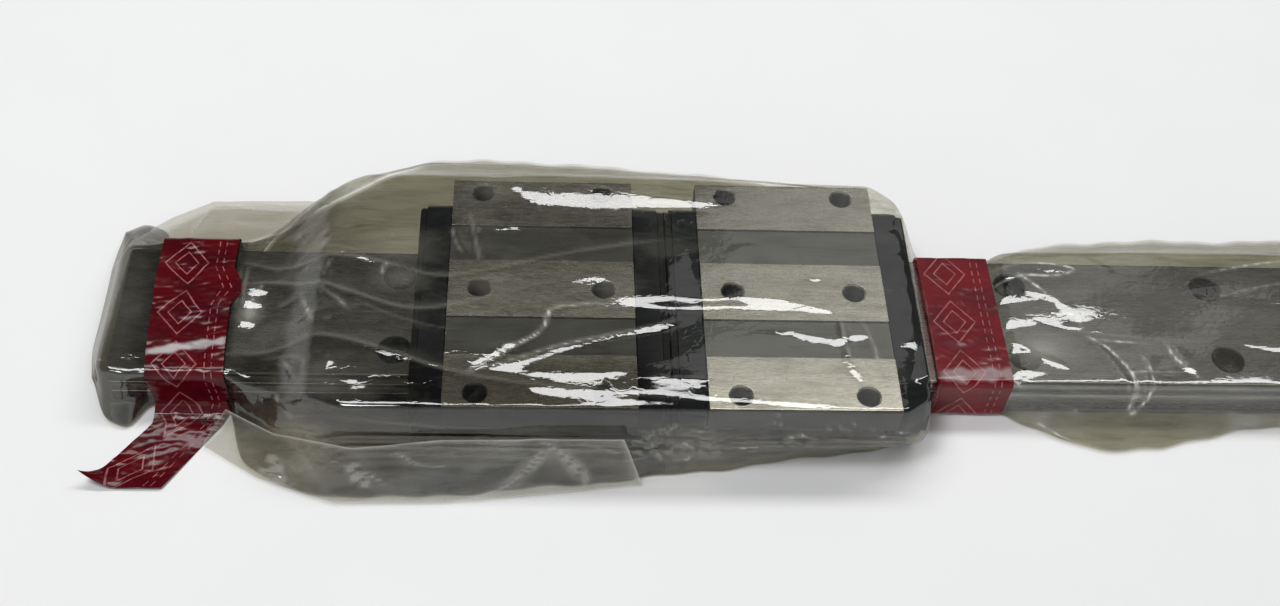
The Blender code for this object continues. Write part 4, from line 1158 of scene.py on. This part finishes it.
def film_relief(x, t):
    """The film's folds and waves, as heights off the smooth bag, in mm."""
    rng = np.random.default_rng(7)
    relief = waves(rng, x, t, count=14, lengths=(22, 48), height=0.22)
    relief += waves(rng, x, t, count=12, lengths=(7, 15), height=0.035)
    relief += sum(lit_fold_height(x, t, path) for path in LIT_FOLDS)
    relief += crease_height(x, t, SHARP_CREASES)
    for patch in CREASED_PATCHES:
        relief += crease_height(x, t, random_creases(rng, *patch))
    # Long pleats in the slopes to both rims
    for centre, reach in ((-56, 9), (50, 6)):
        share = np.exp(-(((t - centre) / reach) ** 2))
        relief += 0.35 * share * np.sin(t * 1.5 + 0.9 * np.sin(x * 0.05)) * np.clip((x + 134) / 10, 0, 1)
    # Gathers that fan out of the two taped necks, which stay smooth
    gathers = zip(LEFT_NECK_ENDS + RIGHT_NECK_ENDS, (-1, 1, -1, 1), (0.12, 0.1, 0.35, 0.4))
    for neck_x, side, rise in gathers:
        away = np.clip((x - neck_x) * side, 0, None)
        fan = np.exp(-away / 9) * np.clip(away / 2.0, 0, 1)
        relief += rise * fan * np.abs(np.sin(t * 0.42 + 0.05 * away + neck_x))
    for low, high in (LEFT_NECK_ENDS, RIGHT_NECK_ENDS):
        relief *= 1 - np.clip(np.minimum(x - low, high - x) + 1, 0, 1)
    for axis in (0, 1):
        relief = 0.5 * relief + 0.25 * (np.roll(relief, 1, axis) + np.roll(relief, -1, axis))
    return relief


def ramped(value, start, width, top=1.0):
    """0 up to start, then rising by 1 for each width, as far as top."""
    return np.clip((value - start) / width, 0, top)


def veil_and_shade_of(x, y):
    """How dark the film looks: towards 1 where the bag lies double and where shade is painted on, and 0 where
    it is single and clear.
    """
    # The bag lies double behind its first fold edge and in front of its second one
    rear, front = (np.interp(x, [p[0] for p in edge], [-p[1] for p in edge]) for edge in FOLD_EDGES[:2])
    rear_share = ramped(y, rear, 0.7) * ramped(-x, 44, 40, 0.06)
    front_share = ramped(front, y, 0.7) * ramped(-x, 24, 30, 0.6)
    ends = ramped(-x, 137, 2)
    # Painted shade: the left part of the bag darkened, more so towards the front; it is also darker behind
    # the left band, on the rear skirt and at the left end
    left = ramped(-x, 38, 6) * np.clip((34 - y) / 12, 0.2, 1)
    left_painted_shade = left * (0.34 + 0.58 * ramped(-y, 17, 6) * ramped(x, -112, 8))
    behind_band = ramped(y, 21, 3, 0.6) * ramped(-x, 112, 8)
    over_floor = ramped(-y, 27, 4) * ramped(-x, 112, 6)
    rear_skirt = np.where(x > 40, 0.14 + 0.12 * ramped(y, 20, 3), 0.16 * ramped(y, 35, 4))
    veil = np.maximum.reduce([rear_share, front_share, ends, behind_band, rear_skirt]) + left_painted_shade
    return np.clip(veil, 0, 1) * (1 - 0.75 * over_floor)


# Boxes about Y = 0 that the film stays out of: X from and to, half width, Z from and to, in mm. They are the
# rail, then the blocks and three steps of the end plates, with the room that the carriages slide in.
KEPT_CLEAR = (
    (-165.3, 165.3, 18.8, -1, 11.3),
    (-108.2, 15.6, 34.3, 12.7, 21.25),
    (-115.8, 23.4, 25.4, 1.0, 20.6),
    (-115.8, 23.4, 28.6, 1.0, 17.6),
    (-115.8, 23.4, 32.3, 8.7, 14.2),
)


def keep_clear(points):
    """Moves each point that is inside a box out by its nearer face, up or sideways."""
    x, y, z = points[..., 0], points[..., 1], points[..., 2]
    side = np.where(y >= 0, 1.0, -1.0)
    reach = np.abs(y)
    for x_low, x_high, half, low, top in KEPT_CLEAR:
        inside = (x > x_low) & (x < x_high) & (reach < half) & (z < top) & (z > low)
        up = inside & (top - z <= half - reach)
        z[up] = top
        reach = np.where(inside & ~up, half, reach)
    points[..., 1] = side * reach
    points[..., 2] = np.maximum(z, RIM_Z)


def grid_mesh(name, points, uv=None, **attributes):
    """A sheet mesh of a (columns, rows, 3) grid in mm."""
    columns, rows = points.shape[:2]
    index = np.arange(columns * rows).reshape(columns, rows)
    quads = np.stack([index[:-1, :-1], index[1:, :-1], index[1:, 1:], index[:-1, 1:]], axis=-1).reshape(-1, 4)
    mesh = bpy.data.meshes.new(name)
    mesh.from_pydata((points.reshape(-1, 3) * MM).tolist(), [], quads.tolist())
    if uv is not None:
        layer = mesh.uv_layers.new(name="tape")
        layer.data.foreach_set("uv", uv.reshape(-1, 2)[quads.ravel()].ravel().astype(np.float32))
    for attribute, values in attributes.items():
        layer = mesh.attributes.new(attribute, "FLOAT", "POINT")
        layer.data.foreach_set("value", values.ravel().astype(np.float32))
    mesh.shade_smooth()
    return mesh


def neck_fade(x):
    """0 in the taped necks and 1 away from them."""
    away = np.minimum(np.abs(x - LEFT_BAND_X), np.abs(x - RIGHT_BAND_X))
    return ramped(away, 11, 6)


def make_film():
    points, across = film_base()
    normals = grid_normals(points)
    rim = np.minimum(np.arange(FILM_ROWS), np.arange(FILM_ROWS)[::-1])[None, :]
    edge_fade = np.clip(rim / RIM_FADE_ROWS, 0, 1)
    relief = film_relief(points[..., 0], across) * edge_fade
    points += normals * relief[..., None]
    wander = np.sin(points[..., 0] * 0.21) + 0.6 * np.sin(points[..., 0] * 0.53 + 1)
    points[..., 1] += np.sign(points[..., 1]) * wander * 0.35 * (1 - edge_fade) * neck_fade(points[..., 0])
    keep_clear(points)
    # How far the film's see-through colour darkens: doubled film and painted shade
    veil = veil_and_shade_of(points[..., 0], points[..., 1])
    edge = whiteness_and_glints(points[..., 0], across, relief)
    upper = new_object("film_upper", grid_mesh("film_upper", points, veil=veil, edge=edge), FILM)
    stand_for(upper, "guide_rail", "clear_film", "film_upper_web")

    rear, front = points[:, 0, :], points[:, -1, :]
    shares = np.linspace(0, 1, LOWER_FILM_ROWS)[None, :, None]
    lower = rear[:, None, :] * (1 - shares) + front[:, None, :] * shares
    rng = np.random.default_rng(11)
    ripple = waves(rng, lower[..., 0], lower[..., 1], count=16, lengths=(8, 30), height=0.16)
    fade = np.clip(np.minimum(shares, 1 - shares)[..., 0] / 0.12, 0, 1)
    lower[..., 2] = RIM_Z - 0.05 + (ripple - 0.2) * fade
    lower[..., 2] = np.clip(lower[..., 2], FLOOR_Z + 0.4, -0.25)
    x, y = lower[..., 0], lower[..., 1]
    shade = ramped(-y, -8, 30, 0.6) * ramped(-x, -30, 30)
    shade *= 1 - 0.9 * ramped(-y, 22, 4) * ramped(-x, 108, 10)
    under = new_object("film_lower", grid_mesh("film_lower", lower, veil=shade), SHADED_LOWER_FILM)
    stand_for(under, "guide_rail", "clear_film", "film_lower_web")


def make_flap(name, outer, inner, seed, shade, creases):
    """A loose double of the bag between two edges, each a list of (X, Y, Z) in mm.

    shade is the painted shade at the outer and the inner edge: how far its see-through colour darkens.
    """
    shares = np.linspace(0, 1, FLAP_COLUMNS)
    across = np.linspace(0, 1, FLAP_ROWS)[None, :, None]
    outer, inner = (resampled(np.array(side, float), FLAP_COLUMNS)[0][:, None, :] for side in (outer, inner))
    points = outer * (1 - across) + inner * across
    rng = np.random.default_rng(seed)
    x, t = points[..., 0], points[..., 1]
    relief = waves(rng, x, t, count=10, lengths=(9, 26), height=0.22) + crease_height(x, t, creases)
    border = np.minimum((1 - across[..., 0]) / 0.05, (1 - shares[:, None]) / 0.012)
    edge = np.maximum(whiteness_and_glints(x, t, relief), 0.8 * np.exp(-(border**2)))
    veil = np.broadcast_to(shade[0] + (shade[1] - shade[0]) * across[..., 0] ** 0.7, x.shape)
    bow = np.sin(math.pi * across[..., 0]) * 0.6
    points[..., 2] = np.maximum(points[..., 2] + np.abs(relief) + bow, RIM_Z)
    flap = new_object(name, grid_mesh(name, points, edge=edge, veil=veil), FLAP_FILM)
    stand_for(flap, "guide_rail", "clear_film", "film_upper_web")


def make_flaps():
    make_flap(
        "film_rear_flap",
        [
            (-167.5, 30.6, 1.5), (-160, 36.5, 2.0), (-150.6, 43.2, 1.0), (-138, 43.8, 1.0),
            (-126.5, 43.4, 1.5), (-120, 41.5, 3.0),
        ],
        [
            (-166.5, 20.5, 8.5), (-158, 20.9, 9.5), (-148, 21.2, 9.5), (-138, 21.6, 10), (-131, 25, 10),
            (-123, 33, 9.0),
        ],
        # The rear flap's painted shade deepens towards its inner edge
        seed=21, shade=(0.6, 1.0),
        creases=(
            (-149, 43, -153, 23, 0.5, 0.8), (-150, 42, -127, 35, 0.4, 0.7), (-140, 43, -122, 38, 0.4, 0.6),
            (-163, 33, -156, 22, 0.4, 0.7),
        ),
    )
    make_flap(
        "film_front_flap",
        [
            (-143, -30.6, -0.4), (-130, -39, -0.4), (-112, -45.6, -0.4), (-88, -45.2, -0.4),
            (-66, -43, -0.4), (-42.4, -40.2, -0.4),
        ],
        [
            (-138.5, -22.5, 2.5), (-126, -31.5, 6), (-108, -37.2, 9), (-88, -37.0, 12.2),
            (-66, -36.8, 12.6), (-47, -36.6, 12.6),
        ],
        seed=23, shade=(0.0, 0.0),
        creases=(
            (-87, -44.8, -63, -36.6, 0.6, 0.7), (-71, -36.8, -53, -42.6, 0.6, 0.7),
            (-108.5, -39, -105, -44, 0.5, 0.5),
            (-129, -37, -121, -42, 0.6, 0.6), (-126, -35, -123.5, -42, 0.5, 0.5),
            (-60, -37, -46, -38.2, 0.35, 0.6),
            (-100, -37.4, -84, -40.4, 0.3, 0.8), (-118, -38, -98, -44.6, 0.25, 0.9),
        ),
    )


# Tape

TAPE_WIDTH = 18
TAPE_STEPS = 260
TAPE_ROWS = 40


def wrap_path(rear, half, top, bottom, corner):
    """Once round the guide: (Y, Z) points from the middle of the base, up the rear and down the front."""
    points = [(0.0, bottom)]
    for centre, start in (
        ((rear - corner, bottom + corner), -90), ((rear - corner, top - corner), 0),
        ((-half + corner, top - corner), 90), ((-half + corner, bottom + corner), 180),
    ):
        for step in range(7):
            a = math.radians(start + 90 * step / 6)
            points.append((centre[0] + corner * math.cos(a), centre[1] + corner * math.sin(a)))
    points.append((0.0, bottom))
    return np.array(points)


def tape_mesh(name, path, centre_x, width, wrinkle, seed, glare, curl=0):
    """A strip along a (Y, Z) path. centre_x and width give its middle and its breadth for each share.

    glare is a pale line across it, partly frosted tape and partly painted glare: place along and across,
    slant, half width and strength. curl is how far one corner of its far end turns up.
    """
    line, distance = resampled(path, TAPE_STEPS)
    share = distance / distance[-1]
    edges = np.linspace(-0.5, 0.5, TAPE_ROWS)
    points = np.zeros((TAPE_STEPS, TAPE_ROWS, 3))
    points[..., 0] = np.interp(share, *centre_x)[:, None] + edges[None, :] * np.interp(share, *width)[:, None]
    points[..., 1:] = line[:, None, :]
    normals = grid_normals(points)
    middle = line.mean(axis=0)
    outward = points[..., 1:] - middle
    normals *= np.sign((normals[..., 1:] * outward).sum(axis=2, keepdims=True))
    rng = np.random.default_rng(seed)
    x, t = points[..., 0], np.broadcast_to(distance[:, None], points.shape[:2])
    relief = np.abs(waves(rng, x, t, count=10, lengths=(3, 12), height=wrinkle))
    relief += np.abs(waves(rng, x, t, count=8, lengths=(1.6, 4), height=wrinkle * 0.35))
    points += normals * relief[..., None]
    v = np.broadcast_to((edges[None, :] + 0.5) * TAPE_WIDTH, x.shape)
    end = np.clip((share - 0.93) / 0.07, 0, 1)[:, None] * np.clip(-edges[None, :] * 2 - 0.1, 0, 1)
    points[..., 2] += curl * end ** 1.5
    points[..., 1] += 0.6 * curl * end ** 2
    place, middle, slant, half, strength = glare
    ragged = 0.18 * half * (np.sin(0.9 * v) + 0.6 * np.sin(1.7 * v + 1))
    gap = np.abs(t + slant * (v - middle) - place) + ragged
    inside = np.clip((10 - np.abs(v - middle)) / 2, 0, 1)
    # Painted glare, partly frosted tape: a ragged pale line across the strip
    frosted = strength * np.clip((half - gap) / (0.5 * half), 0, 1) * inside
    return grid_mesh(name, points, np.stack([t, v], axis=-1), glare=frosted)


def make_right_tape():
    path = wrap_path(rear=19.75, half=19.75, top=11.95, bottom=-1.05, corner=1.4)
    wander = [0, -0.1, -0.1, 0.2, 0, 0]
    centre = ([0, 0.2, 0.35, 0.62, 0.8, 1.0], [RIGHT_BAND_X + off for off in wander])
    width = ([0, 1], [TAPE_WIDTH, TAPE_WIDTH])
    glare = (68.2, 10, 0.04, 2.2, 0.45)
    mesh = tape_mesh("tape_right", path, centre, width, wrinkle=0.08, seed=3, glare=glare)
    tape = new_object("tape_right", mesh, RIGHT_TAPE)
    stand_for(tape, "guide_rail", "red_tape", "tape_band_right")


def make_left_tape():
    wrap = wrap_path(rear=22.6, half=19.75, top=11.95, bottom=-1.05, corner=2.4)
    tail_start_z = 3.0
    body = [tuple(p) for p in wrap if p[1] > tail_start_z or p[0] > 0]
    tail = [
        (-19.9, 2.2), (-20.4, 0.9), (-21.6, 0.05), (-23.5, -0.45), (-28, -0.75), (-33, -0.85), (-38, -0.6),
        (-42, -0.2),
    ]
    path = np.array(body + tail)
    centre = (
        [0, 0.27, 0.34, 0.40, 0.55, 0.74, 0.80, 1.0],
        [-148.6, -148.6, -146.9, -148.2, -147.6, -146.2, -147.4, -159.6],
    )
    width = ([0, 0.27, 0.34, 0.40, 0.74, 0.80, 1.0], [18, 18, 21.4, 18, 17.6, 16.0, 18.0])
    glare = (47.5, 9, 0.19, 1.35, 0.9)
    mesh = tape_mesh("tape_left", path, centre, width, wrinkle=0.15, seed=5, glare=glare, curl=4.5)
    tape = new_object("tape_left", mesh, SHADED_LEFT_TAPE)
    stand_for(tape, "guide_rail", "red_tape", "tape_band_left")


# Stage


def make_floor():
    shape = bmesh.new()
    bmesh.ops.create_grid(shape, x_segments=1, y_segments=1, size=3.0)
    bmesh.ops.translate(shape, vec=(0, 0, CAD_BOX[0].z - 0.02 * MM), verts=shape.verts)
    m = new_material("pale_floor")
    grain = m.noise((40, 40, 40), detail=2)
    tone = m.mix(grain, (0.86, 0.86, 0.86), (0.89, 0.89, 0.89))
    spot = m.add("ShaderNodeTexCoord").outputs["Object"]
    away = m.vector("LENGTH", {0: spot}, "Value")
    glow = m.ramp(away, 0.45, 2.2, 0, 0.75)
    light = {"emission_color": (0.95, 0.97, 1, 1), "emission_strength": glow}
    surface = m.principled(base_color=tone, roughness=0.8, **light)
    floor = new_object("floor", mesh_from(shape, "floor"), m.finish(surface))


def area_light(name, place, target, size, power):
    light = bpy.data.lights.new(name, "AREA")
    light.shape = "RECTANGLE"
    light.size, light.size_y = size
    light.energy = power
    obj = bpy.data.objects.new(name, light)
    COLLECTION.objects.link(obj)
    obj.location = place
    obj.rotation_mode = "QUATERNION"
    obj.rotation_quaternion = (Vector(target) - Vector(place)).to_track_quat("-Z", "Y")


def make_world():
    """A dim room, brighter at the horizon and behind the camera."""
    world = bpy.data.worlds.new("studio")
    bpy.context.scene.world = world
    m = Nodes(world, "ShaderNodeOutputWorld")
    direction = m.add("ShaderNodeTexCoord").outputs["Generated"]
    parts = m.add("ShaderNodeSeparateXYZ", {0: direction})
    horizon = m.ramp(parts.outputs["Z"], 0.04, 0.30, 0.75, 0.07, "LINEAR")
    behind_camera = m.ramp(parts.outputs["Y"], -0.25, -0.85, 0.0, 0.55, "LINEAR")
    strength = m.plus(horizon, behind_camera)
    m.finish(m.add("ShaderNodeBackground", {"Color": (0.95, 0.97, 1.0), "Strength": strength}))


def make_lights():
    bpy.context.scene.view_settings.view_transform = "Standard"
    middle = (-0.03, 0, 0)
    area_light("key", (-0.40, -0.15, 1.10), middle, size=(0.35, 0.35), power=5.5)
    area_light("rear_strip", (0.20, 0.41, 1.02), (0.20, 0, 0), size=(1.5, 0.19), power=7.3)
    area_light("right_panel", (0.34, 0.75, 0.86), middle, size=(0.45, 0.55), power=0.42)


def make_camera():
    data = bpy.data.cameras.new("camera")
    data.lens = VIEW_LENS
    data.clip_start = 0.01
    camera = bpy.data.objects.new("camera", data)
    COLLECTION.objects.link(camera)
    level = math.cos(VIEW_ELEVATION)
    back = Vector((math.sin(VIEW_AZIMUTH) * level, -math.cos(VIEW_AZIMUTH) * level, math.sin(VIEW_ELEVATION)))
    camera.location = VIEW_TARGET + back * VIEW_DISTANCE
    camera.rotation_mode = "QUATERNION"
    camera.rotation_quaternion = (-back).to_track_quat("-Z", "Y") @ Quaternion((0, 0, 1), VIEW_ROLL)
    bpy.context.scene.camera = camera


make_camera()
make_rail()
for carriage in ("left_carriage", "right_carriage"):
    make_carriage(carriage)
make_film()
make_flaps()
make_right_tape()
make_left_tape()
make_floor()
make_world()
make_lights()
